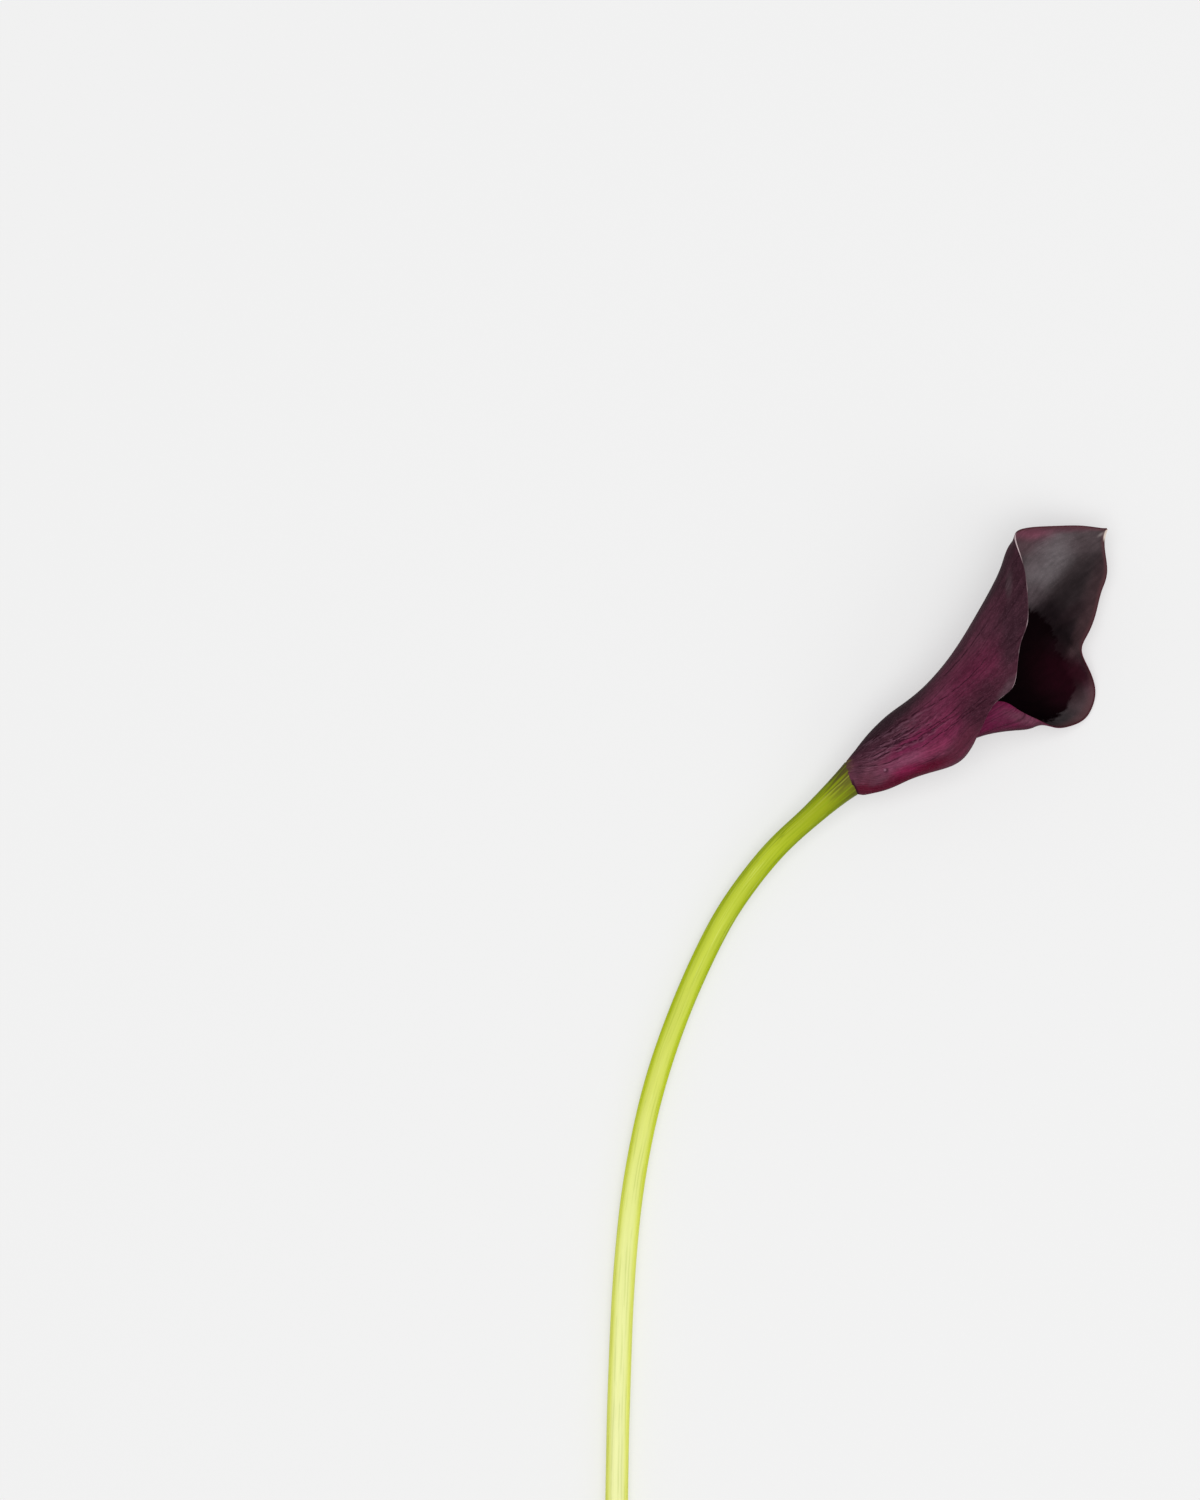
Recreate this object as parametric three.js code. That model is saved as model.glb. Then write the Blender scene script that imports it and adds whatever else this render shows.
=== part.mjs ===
// A dark calla lily flower, cut and laid down on a flat surface. Millimetres, +Z up, surface at z = 0.
// Three pieces: the stem, the spathe (one sheet rolled into a funnel) and the spadix inside its throat.
// Seen from above, the stem's cut end points to -Y and the bloom to +X +Y.
// The bloom has a frame of its own: along (base to tip), across (to its lower right) and height.
import * as THREE from 'three';

// ---- Driving dimensions -------------------------------------------------------------------------
const BLOOM_BASE = new THREE.Vector2(-1.41, 98.47);   // where the bloom starts: puts the origin mid-flower
const BLOOM_TURN = THREE.MathUtils.degToRad(45);      // direction of the bloom's length, from +X
const BLOOM_LENGTH = 114.6;                           // base to tip

const SHEET_THICKNESS = 0.8;                          // spathe, in the middle of the sheet
const MARGIN_THICKNESS = 0.6;                         // spathe, along its free margins
const MARGIN_SHARE = 0.125;                           // share of the sheet over which it thins
const TIP_BLUNTNESS = 0.3;                            // the sheet stops this far short of a sharp tip
const ROLL_PITCH = 1.6;                               // radius the rolled sheet loses in one turn
const BASE_SLANT = 2.2;                               // the base edge leans by this, left to right,
const BASE_LENGTH = 14;                               // which fades out over this length

const STEM_RADIUS = 3.45;
const STEM_CUT_RADIUS = 3.75;                         // a little stouter at the cut end
const STEM_TOP_RADIUS = 5.1;                          // widened under the bloom
const STEM_SIDES = 16;                                // one side faces down, so the stem lies flat
const STEM_RISE = 9.6;                                // how far the bloom's base is lifted
const STEM_LIFT_LENGTH = 85;                          // length of stem over which it leaves the surface
const STEM_FLARE_LENGTH = 26;
const SEAT_RADIUS = 2.4;                              // slim end of the stem inside the spathe
const SEAT_LENGTH = 4.6;
const GAP = 0.3;                                      // between neighbouring pieces

const SPADIX_RADIUS = 3.4;
const SPADIX_TAPER = 0.12;                            // share of its radius lost from foot to tip
const SPADIX_FOOT = 0.25;                             // share of its length that widens from the seat
const SPADIX_ROUND = 0.14;                            // share of its length that its round tip takes
const SPADIX_BLUNTNESS = 0.25;                        // share of its radius left at the very tip
const SPADIX_END = 50;                                // station where its tip is
const FLORETS_AROUND = 12;
const FLORET_ROWS = 26;
const FLORET_HEIGHT = 0.45;

// ---- The shape of the roll, by station (millimetres from the bloom's base) ------------------------
// station, across of the throat's middle, its height, radius across, radius upwards
const THROAT = [
  [0, 0.0, 13.0, 4.6, 4.6],
  [5, 1.9, 14.0, 6.9, 6.7],
  [13, 3.3, 15.2, 9.1, 9.1],
  [22, 5.2, 16.8, 11.0, 10.9],
  [30, 6.9, 18.2, 11.6, 12.0],
  [38, 7.0, 19.7, 11.1, 12.9],
  [46, 7.9, 21.2, 12.5, 14.3],
  [55, 9.0, 22.8, 15.0, 16.0],
  [65, 9.3, 24.0, 17.8, 17.4],
  [76, 9.0, 24.7, 20.7, 18.6],
  [82, 9.1, 24.9, 23.0, 19.2],
  [88, 9.2, 24.9, 25.7, 19.4],
  [96, 9.5, 24.6, 24.8, 18.4],
  [106, 9.2, 24.0, 18.5, 15.5],
  [BLOOM_LENGTH, 8.8, 23.5, 13.0, 12.8],
];
// The margin that wraps over, as places it passes through: station, along, across, height
const OVER_MARGIN = [
  [0, 0, -1.0, 7.2],
  [12, 12, 4.0, 4.9],
  [22, 22, 13.0, 5.7],
  [30, 30.2, 20.0, 13],
  [36, 36.3, 19.3, 21.8],
  [42, 42.1, 17.2, 29.6],
  [47, 46.7, 15.5, 33.8],
  [52, 51.5, 15.3, 37],
  [57, 56.5, 15.5, 39.4],
  [62, 61.4, 12.5, 41.6],
  [68, 67.9, 7.5, 43.4],
  [74, 73.9, 4.5, 44.2],
  [80, 79.9, -1.2, 43.8],
  [85.5, 84.8, -7.1, 41],
  [90, 89, -14.3, 35],
  [92.5, 91.8, -18.2, 28],
  [97, 97, -16.3, 21],
  [103, 103.3, -10.8, 17.5],
  [109, 109.4, -4.9, 15],
  [BLOOM_LENGTH, BLOOM_LENGTH, 1.7, 13],
];
// The margin that is tucked under and then turns out as the far lobe, which rests on the surface
const UNDER_MARGIN = [
  [0, 0, -0.3, 16.4],
  [14, 14, 2.8, 23.5],
  [26, 26.2, 5.8, 27.8],
  [37, 40, 9.8, 30.6],
  [43, 50.6, 15.8, 31.5],
  [48, 52.9, 21.8, 26.5],
  [54, 55.4, 29.1, 18],
  [60, 58.7, 35.9, 8.6],
  [66, 64.8, 39.4, 3.3],
  [72, 70.6, 38.9, 1.5],
  [77, 75.9, 35.0, 2.4],
  [80.5, 78.5, 29.6, 5.2],
  [84.5, 80.9, 23.5, 8.6],
  [89, 86.2, 21.0, 9],
  [94, 92.3, 18.4, 8.3],
  [100, 99.4, 14.3, 7.8],
  [106, 106, 10.0, 8.8],
  [110, 110.3, 4.5, 10.6],
  [BLOOM_LENGTH, BLOOM_LENGTH, 1.7, 13],
];
const OVER_START = -100;                              // degrees round the throat where each margin
const UNDER_START = 455;                              // starts: 0 is across, 90 is up
// The far lobe's belly: station, how far it swells (radii), its angle round the throat
const LOBE_BELLY = [
  [0, 0, 352],
  [34, 0.02, 352],
  [41, 0.38, 342],
  [47, 0.66, 337],
  [52, 0.82, 332],
  [57, 0.86, 326],
  [63, 0.54, 322],
  [71, 0.08, 320],
  [80, 0, 320],
  [BLOOM_LENGTH, 0, 300],
];
const BELLY_WIDTH = 36;                               // degrees round the throat
const OVER_LIP_SHARE = 0.45;                          // share of the sheet that each lip bends
const UNDER_LIP_SHARE = 0.42;
const LIP_SHARPNESS = 2.2;
const ROLL_ENDS = [45, 70];                           // stations where the roll opens into a fan

// The stem seen from above, from the bloom's base to the cut end
const STEM_PLAN = [
  [0, 0], [-11.2, -10.4], [-24.6, -23.0], [-34.9, -35.8], [-42.9, -48.6], [-54.7, -74.2],
  [-63.4, -99.8], [-69.0, -125.4], [-72.2, -151.0], [-74.7, -202.2], [-75.8, -278.0],
];

// ---- Mesh resolution ------------------------------------------------------------------------------
const SHEET_ROWS = 45;
const SHEET_COLUMNS = 41;
const SHEET_ROW_CROWDING = 0.25;                      // how much closer the rows are near the tip
const STEM_RINGS = 46;
const STEM_RING_CROWDING = 0.35;                      // how much closer they are near the bloom
const STEM_STEP = 0.004;                              // share of the stem used to read its direction
const STATION_STEP = 0.2;                             // steps used to read the sheet's direction
const SHARE_STEP = 0.002;

// ---- Small tools ----------------------------------------------------------------------------------
const clamp = THREE.MathUtils.clamp;

// Natural cubic spline through rows of [position, value, value, ...].
function smoothCurve(rows) {
  const last = rows.length - 1;
  const step = (i) => rows[i + 1][0] - rows[i][0];
  const columns = rows[0].slice(1).map((_, column) => {
    const value = (i) => rows[i][column + 1];
    const bend = new Array(last + 1).fill(0);
    const ratio = new Array(last + 1).fill(0);
    for (let i = 1; i < last; i += 1) {
      const pivot = 2 * (step(i - 1) + step(i)) - step(i - 1) * ratio[i - 1];
      const slopes = (value(i + 1) - value(i)) / step(i) - (value(i) - value(i - 1)) / step(i - 1);
      ratio[i] = step(i) / pivot;
      bend[i] = (6 * slopes - step(i - 1) * bend[i - 1]) / pivot;
    }
    for (let i = last - 1; i > 0; i -= 1) bend[i] -= ratio[i] * bend[i + 1];
    return { value, bend };
  });
  return (position) => {
    let i = 0;
    while (i < last - 1 && position > rows[i + 1][0]) i += 1;
    const h = step(i);
    const after = position - rows[i][0];
    const before = rows[i + 1][0] - position;
    return columns.map(({ value, bend }) => (bend[i] * before ** 3 + bend[i + 1] * after ** 3) / (6 * h)
      + (value(i) / h - bend[i] * h / 6) * before + (value(i + 1) / h - bend[i + 1] * h / 6) * after);
  };
}

// Bloom frame to world.
function bloomPoint(along, across, height) {
  const c = Math.cos(BLOOM_TURN);
  const s = Math.sin(BLOOM_TURN);
  const x = BLOOM_BASE.x + along * c + across * s;
  const y = BLOOM_BASE.y + along * s - across * c;
  return new THREE.Vector3(x, y, height);
}

function closedGeometry(points, triangles) {
  const geometry = new THREE.BufferGeometry();
  const numbers = points.flatMap((p) => [p.x, p.y, p.z]);
  geometry.setAttribute('position', new THREE.Float32BufferAttribute(numbers, 3));
  geometry.setIndex(triangles.flat());
  geometry.computeVertexNormals();
  return geometry;
}

// A solid through rings of equal point count, closed at both ends with a fan round each middle.
// Each ring's points run anticlockwise for someone who looks from the first ring to the last.
function loft(rings) {
  const sides = rings[0].length;
  const points = rings.flat();
  const triangles = [];
  for (let r = 0; r < rings.length - 1; r += 1) {
    for (let k = 0; k < sides; k += 1) {
      const a = r * sides + k;
      const b = r * sides + (k + 1) % sides;
      triangles.push([a, b + sides, b], [a, a + sides, b + sides]);
    }
  }
  [0, rings.length - 1].forEach((r) => {
    const middle = rings[r].reduce((sum, p) => sum.add(p), new THREE.Vector3()).divideScalar(sides);
    points.push(middle);
    for (let k = 0; k < sides; k += 1) {
      const a = r * sides + k;
      const b = r * sides + (k + 1) % sides;
      triangles.push(r === 0 ? [points.length - 1, a, b] : [points.length - 1, b, a]);
    }
  });
  return closedGeometry(points, triangles);
}

// ---- Spathe: one sheet, rolled into a funnel ------------------------------------------------------
const throat = smoothCurve(THROAT);
const lobeBelly = smoothCurve(LOBE_BELLY);
const { degToRad, radToDeg } = THREE.MathUtils;

// Radius that the roll adds or takes off at an angle, until it opens into a fan.
function rollOffset(station, degrees) {
  const rolled = clamp((ROLL_ENDS[1] - station) / (ROLL_ENDS[1] - ROLL_ENDS[0]), 0, 1);
  return ROLL_PITCH * rolled * (180 - degrees) / 360;
}

function bellySwell(station, degrees) {
  const [swell, middle] = lobeBelly(station);
  return swell * Math.exp(-(((degrees - middle) / BELLY_WIDTH) ** 2));
}

// A margin's places as a curve of shift along, angle round the throat and reach in radii.
function marginCurve(places, firstAngle) {
  let degrees = firstAngle;
  return smoothCurve(places.map(([station, along, across, height]) => {
    const [throatAcross, throatHeight, radiusAcross, radiusUp] = throat(station);
    const right = across - throatAcross;
    const up = height - throatHeight;
    let reach = 1;
    for (let pass = 0; pass < 20; pass += 1) {
      const roll = rollOffset(station, degrees);
      const rise = up / (radiusUp * reach + roll);
      const run = right / (radiusAcross * reach + roll);
      const bearing = radToDeg(Math.atan2(rise, run));
      degrees = bearing + 360 * Math.round((degrees - bearing) / 360);
      const c = Math.cos(degToRad(degrees));
      const s = Math.sin(degToRad(degrees));
      reach = Math.hypot(right - roll * c, up - roll * s) / Math.hypot(radiusAcross * c, radiusUp * s);
    }
    return [station, along - station, degrees, reach - bellySwell(station, degrees)];
  }));
}

const overMargin = marginCurve(OVER_MARGIN, OVER_START);
const underMargin = marginCurve(UNDER_MARGIN, UNDER_START);

// Middle of the sheet. share is 0 on the margin that wraps over and 1 on the tucked-under one.
function sheetPoint(station, share) {
  const [across, height, radiusAcross, radiusUp] = throat(station);
  const [overShift, overAngle, overReach] = overMargin(station);
  const [underShift, underAngle, underReach] = underMargin(station);
  const degrees = overAngle + (underAngle - overAngle) * share;
  const angle = degToRad(degrees);
  const overLip = clamp(1 - share / OVER_LIP_SHARE, 0, 1) ** LIP_SHARPNESS;
  const underLip = clamp(1 - (1 - share) / UNDER_LIP_SHARE, 0, 1) ** LIP_SHARPNESS;
  const lips = (overReach - 1) * overLip + (underReach - 1) * underLip;
  const reach = 1 + lips + bellySwell(station, degrees);
  const roll = rollOffset(station, degrees);
  const slant = BASE_SLANT * Math.cos(angle) * clamp(1 - station / BASE_LENGTH, 0, 1) ** 2;
  return bloomPoint(
    station + overShift * overLip + underShift * underLip - slant,
    across + (radiusAcross * reach + roll) * Math.cos(angle),
    height + (radiusUp * reach + roll) * Math.sin(angle),
  );
}

// Direction out of the roll, square to the sheet.
function sheetNormal(station, share) {
  const forward = sheetPoint(station + STATION_STEP, share).sub(sheetPoint(station - STATION_STEP, share));
  const round = sheetPoint(station, share + SHARE_STEP).sub(sheetPoint(station, share - SHARE_STEP));
  return forward.cross(round).normalize();
}

function spathe() {
  const outside = [];
  const inside = [];
  for (let row = 0; row < SHEET_ROWS; row += 1) {
    const u = row / (SHEET_ROWS - 1);
    const station = (BLOOM_LENGTH - TIP_BLUNTNESS) * u * (1 + SHEET_ROW_CROWDING * (1 - u));
    for (let column = 0; column < SHEET_COLUMNS; column += 1) {
      const share = column / (SHEET_COLUMNS - 1);
      const fromMargin = clamp(Math.min(share, 1 - share) / MARGIN_SHARE, 0, 1);
      const thickness = MARGIN_THICKNESS + (SHEET_THICKNESS - MARGIN_THICKNESS) * fromMargin;
      const middle = sheetPoint(station, share);
      const out = sheetNormal(station, share).multiplyScalar(thickness / 2);
      const outer = middle.clone().add(out);
      const inner = middle.clone().sub(out);
      // the far lobe is pressed flat where it rests on the surface
      if (outer.z < 0) {
        inner.z = Math.max(inner.z, thickness);
        outer.z = 0;
      }
      outside.push(outer);
      inside.push(inner);
    }
  }
  const points = [...outside, ...inside];
  const under = outside.length;
  const at = (row, column) => row * SHEET_COLUMNS + column;
  const triangles = [];
  for (let row = 0; row < SHEET_ROWS - 1; row += 1) {
    for (let column = 0; column < SHEET_COLUMNS - 1; column += 1) {
      const a = at(row, column);
      const b = at(row, column + 1);
      const c = at(row + 1, column + 1);
      const d = at(row + 1, column);
      triangles.push([a, c, b], [a, d, c]);
      triangles.push([a + under, b + under, c + under], [a + under, c + under, d + under]);
    }
  }
  const rim = [];
  for (let column = 0; column < SHEET_COLUMNS - 1; column += 1) rim.push(at(0, column));
  for (let row = 0; row < SHEET_ROWS - 1; row += 1) rim.push(at(row, SHEET_COLUMNS - 1));
  for (let column = SHEET_COLUMNS - 1; column > 0; column -= 1) rim.push(at(SHEET_ROWS - 1, column));
  for (let row = SHEET_ROWS - 1; row > 0; row -= 1) rim.push(at(row, 0));
  rim.forEach((a, i) => {
    const b = rim[(i + 1) % rim.length];
    triangles.push([a, b, a + under], [b, b + under, a + under]);
  });
  return closedGeometry(points, triangles);
}

// ---- Rings for the two round pieces ---------------------------------------------------------------
// One ring square to its tangent. reach(k) is the radius of point k; a slanted ring leans back at its
// right side, as the spathe's base edge does.
function ring(centre, tangent, sides, reach, slant = 0) {
  const right = new THREE.Vector3(tangent.y, -tangent.x, 0).normalize();
  const up = right.clone().cross(tangent).normalize();
  return Array.from({ length: sides }, (_, k) => {
    const angle = (k + 0.5) * 2 * Math.PI / sides;
    return centre.clone()
      .addScaledVector(right, reach(k) * Math.cos(angle))
      .addScaledVector(up, reach(k) * Math.sin(angle))
      .addScaledVector(tangent, -slant * Math.cos(angle));
  });
}

// Middle of the throat, where the spadix stands, and its direction.
function throatAxis(station) {
  const [across, height] = throat(station);
  return bloomPoint(station, across, height);
}

function throatDirection(station) {
  return throatAxis(station + 1).sub(throatAxis(station)).normalize();
}

// ---- Stem -----------------------------------------------------------------------------------------
function stemRadius(distance, length) {
  const flare = clamp(1 - distance / STEM_FLARE_LENGTH, 0, 1) ** 2;
  const stout = (distance / length) ** 2;
  return STEM_RADIUS + (STEM_TOP_RADIUS - STEM_RADIUS) * flare + (STEM_CUT_RADIUS - STEM_RADIUS) * stout;
}

function stem() {
  const route = STEM_PLAN.map(([x, y]) => new THREE.Vector3(BLOOM_BASE.x + x, BLOOM_BASE.y + y, 0));
  const plan = new THREE.CatmullRomCurve3(route, false, 'centripetal');
  const length = plan.getLength();
  const flatSide = Math.cos(Math.PI / STEM_SIDES);
  const radiusAt = (t) => stemRadius(t * length, length);
  const centreAt = (t) => {
    const lift = STEM_RISE * clamp(1 - t * length / STEM_LIFT_LENGTH, 0, 1) ** 2;
    const lying = Math.min(radiusAt(t), STEM_CUT_RADIUS) * flatSide;
    return plan.getPointAt(t).setZ(lying + lift);
  };
  const directionAt = (t) => (
    centreAt(Math.max(t - STEM_STEP, 0)).sub(centreAt(Math.min(t + STEM_STEP, 1))).normalize());
  const rings = [];
  // from the cut end up to the bloom, with the rings closer together near the bloom
  for (let i = 0; i < STEM_RINGS; i += 1) {
    const toBloom = i / (STEM_RINGS - 1);
    const t = (1 - toBloom) * (1 - STEM_RING_CROWDING * toBloom);
    const slant = BASE_SLANT * clamp(1 - t * length / STEM_FLARE_LENGTH, 0, 1) ** 2;
    rings.push(ring(centreAt(t), directionAt(t), STEM_SIDES, () => radiusAt(t), slant));
  }
  // the flared top faces the spathe's base edge, then steps in to the slim seat inside it
  const ahead = new THREE.Vector3(Math.cos(BLOOM_TURN), Math.sin(BLOOM_TURN), 0);
  const top = throatAxis(0).addScaledVector(ahead, -GAP);
  rings[rings.length - 1] = ring(top, ahead, STEM_SIDES, () => STEM_TOP_RADIUS, BASE_SLANT);
  rings.push(ring(top, ahead, STEM_SIDES, () => SEAT_RADIUS, BASE_SLANT));
  rings.push(ring(throatAxis(SEAT_LENGTH), throatDirection(SEAT_LENGTH), STEM_SIDES, () => SEAT_RADIUS));
  return loft(rings);
}

// ---- Spadix: a finger covered with florets --------------------------------------------------------
// Radius of the finger between its foot (0) and its tip (1): slim foot, full middle, round tip.
function fingerRadius(t) {
  const foot = SEAT_RADIUS + (SPADIX_RADIUS - SEAT_RADIUS) * Math.sqrt(clamp(t / SPADIX_FOOT, 0, 1));
  const roundTip = Math.sqrt(1 - clamp(1 - (1 - t) / SPADIX_ROUND, 0, 1) ** 2);
  return foot * Math.max(roundTip, SPADIX_BLUNTNESS) * (1 - SPADIX_TAPER * t);
}

function spadix() {
  const sides = 2 * FLORETS_AROUND;
  const start = SEAT_LENGTH + GAP;
  const rings = [];
  for (let row = 0; row <= 2 * FLORET_ROWS; row += 1) {
    const t = row / (2 * FLORET_ROWS);
    const station = start + (SPADIX_END - start) * t;
    const relief = clamp(Math.min(t, 1 - t) / SPADIX_ROUND, 0, 1) * FLORET_HEIGHT;
    // a floret is one raised point; each row of them is turned by half a floret
    const raised = (k) => row % 2 === 1 && k % 2 === ((row - 1) / 2) % 2;
    const reach = (k) => fingerRadius(t) - relief / 2 + (raised(k) ? relief : 0);
    rings.push(ring(throatAxis(station), throatDirection(station), sides, reach));
  }
  return loft(rings);
}

// ---- The flower -----------------------------------------------------------------------------------
const spatheFinish = new THREE.MeshStandardMaterial({ color: 0x3a1226, roughness: 0.5, metalness: 0 });
const stemFinish = new THREE.MeshStandardMaterial({ color: 0x9aaa2a, roughness: 0.45, metalness: 0 });
const spadixFinish = new THREE.MeshStandardMaterial({ color: 0x2c0f16, roughness: 0.8, metalness: 0 });

const calla = new THREE.Group();

function addPiece(name, geometry, finish) {
  const mesh = new THREE.Mesh(geometry, finish);
  mesh.name = name;
  calla.add(mesh);
}

addPiece('stem', stem(), stemFinish);
addPiece('spathe', spathe(), spatheFinish);
addPiece('spadix', spadix(), spadixFinish);

export default calla;
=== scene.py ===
import collections
import math

import bpy
import numpy as np
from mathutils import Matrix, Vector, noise


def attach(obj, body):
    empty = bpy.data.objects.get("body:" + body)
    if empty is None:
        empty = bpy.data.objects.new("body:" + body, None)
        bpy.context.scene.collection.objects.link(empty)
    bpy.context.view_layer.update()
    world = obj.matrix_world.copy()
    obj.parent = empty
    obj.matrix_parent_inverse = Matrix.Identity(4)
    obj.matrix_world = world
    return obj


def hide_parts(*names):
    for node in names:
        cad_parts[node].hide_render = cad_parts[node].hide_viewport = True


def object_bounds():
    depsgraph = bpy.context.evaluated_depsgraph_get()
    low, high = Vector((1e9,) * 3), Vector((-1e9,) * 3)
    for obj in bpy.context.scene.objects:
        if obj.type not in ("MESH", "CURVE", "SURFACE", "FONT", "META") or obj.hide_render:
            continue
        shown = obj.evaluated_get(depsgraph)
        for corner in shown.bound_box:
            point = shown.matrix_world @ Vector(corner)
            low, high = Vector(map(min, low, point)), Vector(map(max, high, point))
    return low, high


# A dark calla lily flower, cut and laid down on a pale floor, dressed round its CAD model.
# Shapes are worked out in millimetres and become metres when their mesh is made. The bloom has a
# frame of its own: along (base to tip), across (to its lower right seen from above) and height.
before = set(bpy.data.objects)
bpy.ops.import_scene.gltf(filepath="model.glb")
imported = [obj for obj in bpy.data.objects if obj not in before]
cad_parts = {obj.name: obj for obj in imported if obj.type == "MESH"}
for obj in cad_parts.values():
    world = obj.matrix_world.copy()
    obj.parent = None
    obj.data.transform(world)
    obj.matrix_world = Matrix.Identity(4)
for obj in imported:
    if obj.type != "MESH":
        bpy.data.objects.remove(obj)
cad_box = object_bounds()

MM = 0.001

# ---- Sizes shared with the CAD model (millimetres and degrees) ------------------------------------
BLOOM_BASE = (-1.41, 98.47)
BLOOM_TURN = math.radians(45)
BLOOM_LENGTH = 114.6
SHEET_THICKNESS = 0.8
TIP_BLUNTNESS = 0.3
ROLL_PITCH = 1.6
BASE_SLANT = 2.2
BASE_LENGTH = 14
STEM_RADIUS = 3.45
STEM_CUT_RADIUS = 3.75
STEM_TOP_RADIUS = 5.1
STEM_RISE = 9.6
STEM_LIFT_LENGTH = 85
STEM_FLARE_LENGTH = 26
STEM_CAD_SIDES = 16
SEAT_RADIUS = 2.4
SEAT_LENGTH = 4.6
GAP = 0.3
SPADIX_RADIUS = 3.4
SPADIX_TAPER = 0.12
SPADIX_FOOT = 0.25
SPADIX_ROUND = 0.14
SPADIX_END = 50

# station, across of the throat's middle, its height, radius across, radius upwards
THROAT = [
    (0, 0.0, 13.0, 4.6, 4.6),
    (5, 1.9, 14.0, 6.9, 6.7),
    (13, 3.3, 15.2, 9.1, 9.1),
    (22, 5.2, 16.8, 11.0, 10.9),
    (30, 6.9, 18.2, 11.6, 12.0),
    (38, 7.0, 19.7, 11.1, 12.9),
    (46, 7.9, 21.2, 12.5, 14.3),
    (55, 9.0, 22.8, 15.0, 16.0),
    (65, 9.3, 24.0, 17.8, 17.4),
    (76, 9.0, 24.7, 20.7, 18.6),
    (82, 9.1, 24.9, 23.0, 19.2),
    (88, 9.2, 24.9, 25.7, 19.4),
    (96, 9.5, 24.6, 24.8, 18.4),
    (106, 9.2, 24.0, 18.5, 15.5),
    (BLOOM_LENGTH, 8.8, 23.5, 13.0, 12.8),
]
# The margin that wraps over: station, along, across, height
OVER_MARGIN = [
    (0, 0, -1.0, 7.2),
    (12, 12, 4.0, 4.9),
    (22, 22, 13.0, 5.7),
    (30, 30.2, 20.0, 13),
    (36, 36.3, 19.3, 21.8),
    (42, 42.1, 17.2, 29.6),
    (47, 46.7, 15.5, 33.8),
    (52, 51.5, 15.3, 37),
    (57, 56.5, 15.5, 39.4),
    (62, 61.4, 12.5, 41.6),
    (68, 67.9, 7.5, 43.4),
    (74, 73.9, 4.5, 44.2),
    (80, 79.9, -1.2, 43.8),
    (85.5, 84.8, -7.1, 41),
    (90, 89, -14.3, 35),
    (92.5, 91.8, -18.2, 28),
    (97, 97, -16.3, 21),
    (103, 103.3, -10.8, 17.5),
    (109, 109.4, -4.9, 15),
    (BLOOM_LENGTH, BLOOM_LENGTH, 1.7, 13),
]
# The margin that is tucked under, and turns out as the far lobe: station, along, across, height
UNDER_MARGIN = [
    (0, 0, -0.3, 16.4),
    (14, 14, 2.8, 23.5),
    (26, 26.2, 5.8, 27.8),
    (37, 40, 9.8, 30.6),
    (43, 50.6, 15.8, 31.5),
    (48, 52.9, 21.8, 26.5),
    (54, 55.4, 29.1, 18),
    (60, 58.7, 35.9, 8.6),
    (66, 64.8, 39.4, 3.3),
    (72, 70.6, 38.9, 1.5),
    (77, 75.9, 35.0, 2.4),
    (80.5, 78.5, 29.6, 5.2),
    (84.5, 80.9, 23.5, 8.6),
    (89, 86.2, 21.0, 9),
    (94, 92.3, 18.4, 8.3),
    (100, 99.4, 14.3, 7.8),
    (106, 106, 10.0, 8.8),
    (110, 110.3, 4.5, 10.6),
    (BLOOM_LENGTH, BLOOM_LENGTH, 1.7, 13),
]
OVER_START = -100
UNDER_START = 455
# The far lobe's belly: station, how far it swells (radii), its angle round the throat
LOBE_BELLY = [
    (0, 0, 352),
    (34, 0.02, 352),
    (41, 0.38, 342),
    (47, 0.66, 337),
    (52, 0.82, 332),
    (57, 0.86, 326),
    (63, 0.54, 322),
    (71, 0.08, 320),
    (80, 0, 320),
    (BLOOM_LENGTH, 0, 300),
]
BELLY_WIDTH = 36
OVER_LIP_SHARE = 0.45
UNDER_LIP_SHARE = 0.42
LIP_SHARPNESS = 2.2
ROLL_ENDS = (45, 70)

# The stem seen from above, from the bloom's base to the cut end
STEM_PLAN = [
    (0, 0), (-11.2, -10.4), (-24.6, -23.0), (-34.9, -35.8), (-42.9, -48.6), (-54.7, -74.2),
    (-63.4, -99.8), (-69.0, -125.4), (-72.2, -151.0), (-74.7, -202.2), (-75.8, -278.0),
]

# ---- Sizes of what only the dressed flower has ----------------------------------------------------
SHEET_ROWS = 168
SHEET_COLUMNS = 276
ROW_CROWDING = 0.25                              # how much closer rows lie at the tip
FOOT_ROWS = (-0.4, -0.25, -0.05, 0.2, 0.5, 0.9)  # extra rows round the foot's rim
EVEN_ROWS_FROM = 1.2
EDGE_STEPS = (0.0, 0.03, 0.09, 0.2, 0.4, 0.75)   # columns beside a free margin, this far from it
GIRTH_SAMPLES = 161
NORMAL_STEPS = (0.2, 0.002)                      # station and share to each side of a point
SPLINE_STEPS = 200                               # samples of the stem's course between two points
COURSE_STEP = 1.2                                # distance to each side over which a tangent is taken
MARGIN_ROUNDS = 20                               # rounds that settle a margin point's angle
MARGIN_THICKNESS = 0.42
MARGIN_BAND = 7                                  # width over which the sheet thins to its margin
BASE_LAP = 0.4                                   # how far the sheet's foot laps over the stem's top
BASE_TUCK = 1.7                                  # length over which its edge turns in to the stem
BASE_CLEARANCE = 0.16
TUCKED_BELOW = (300, 30)                         # degrees of the roll that tuck in, and their fade

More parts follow.
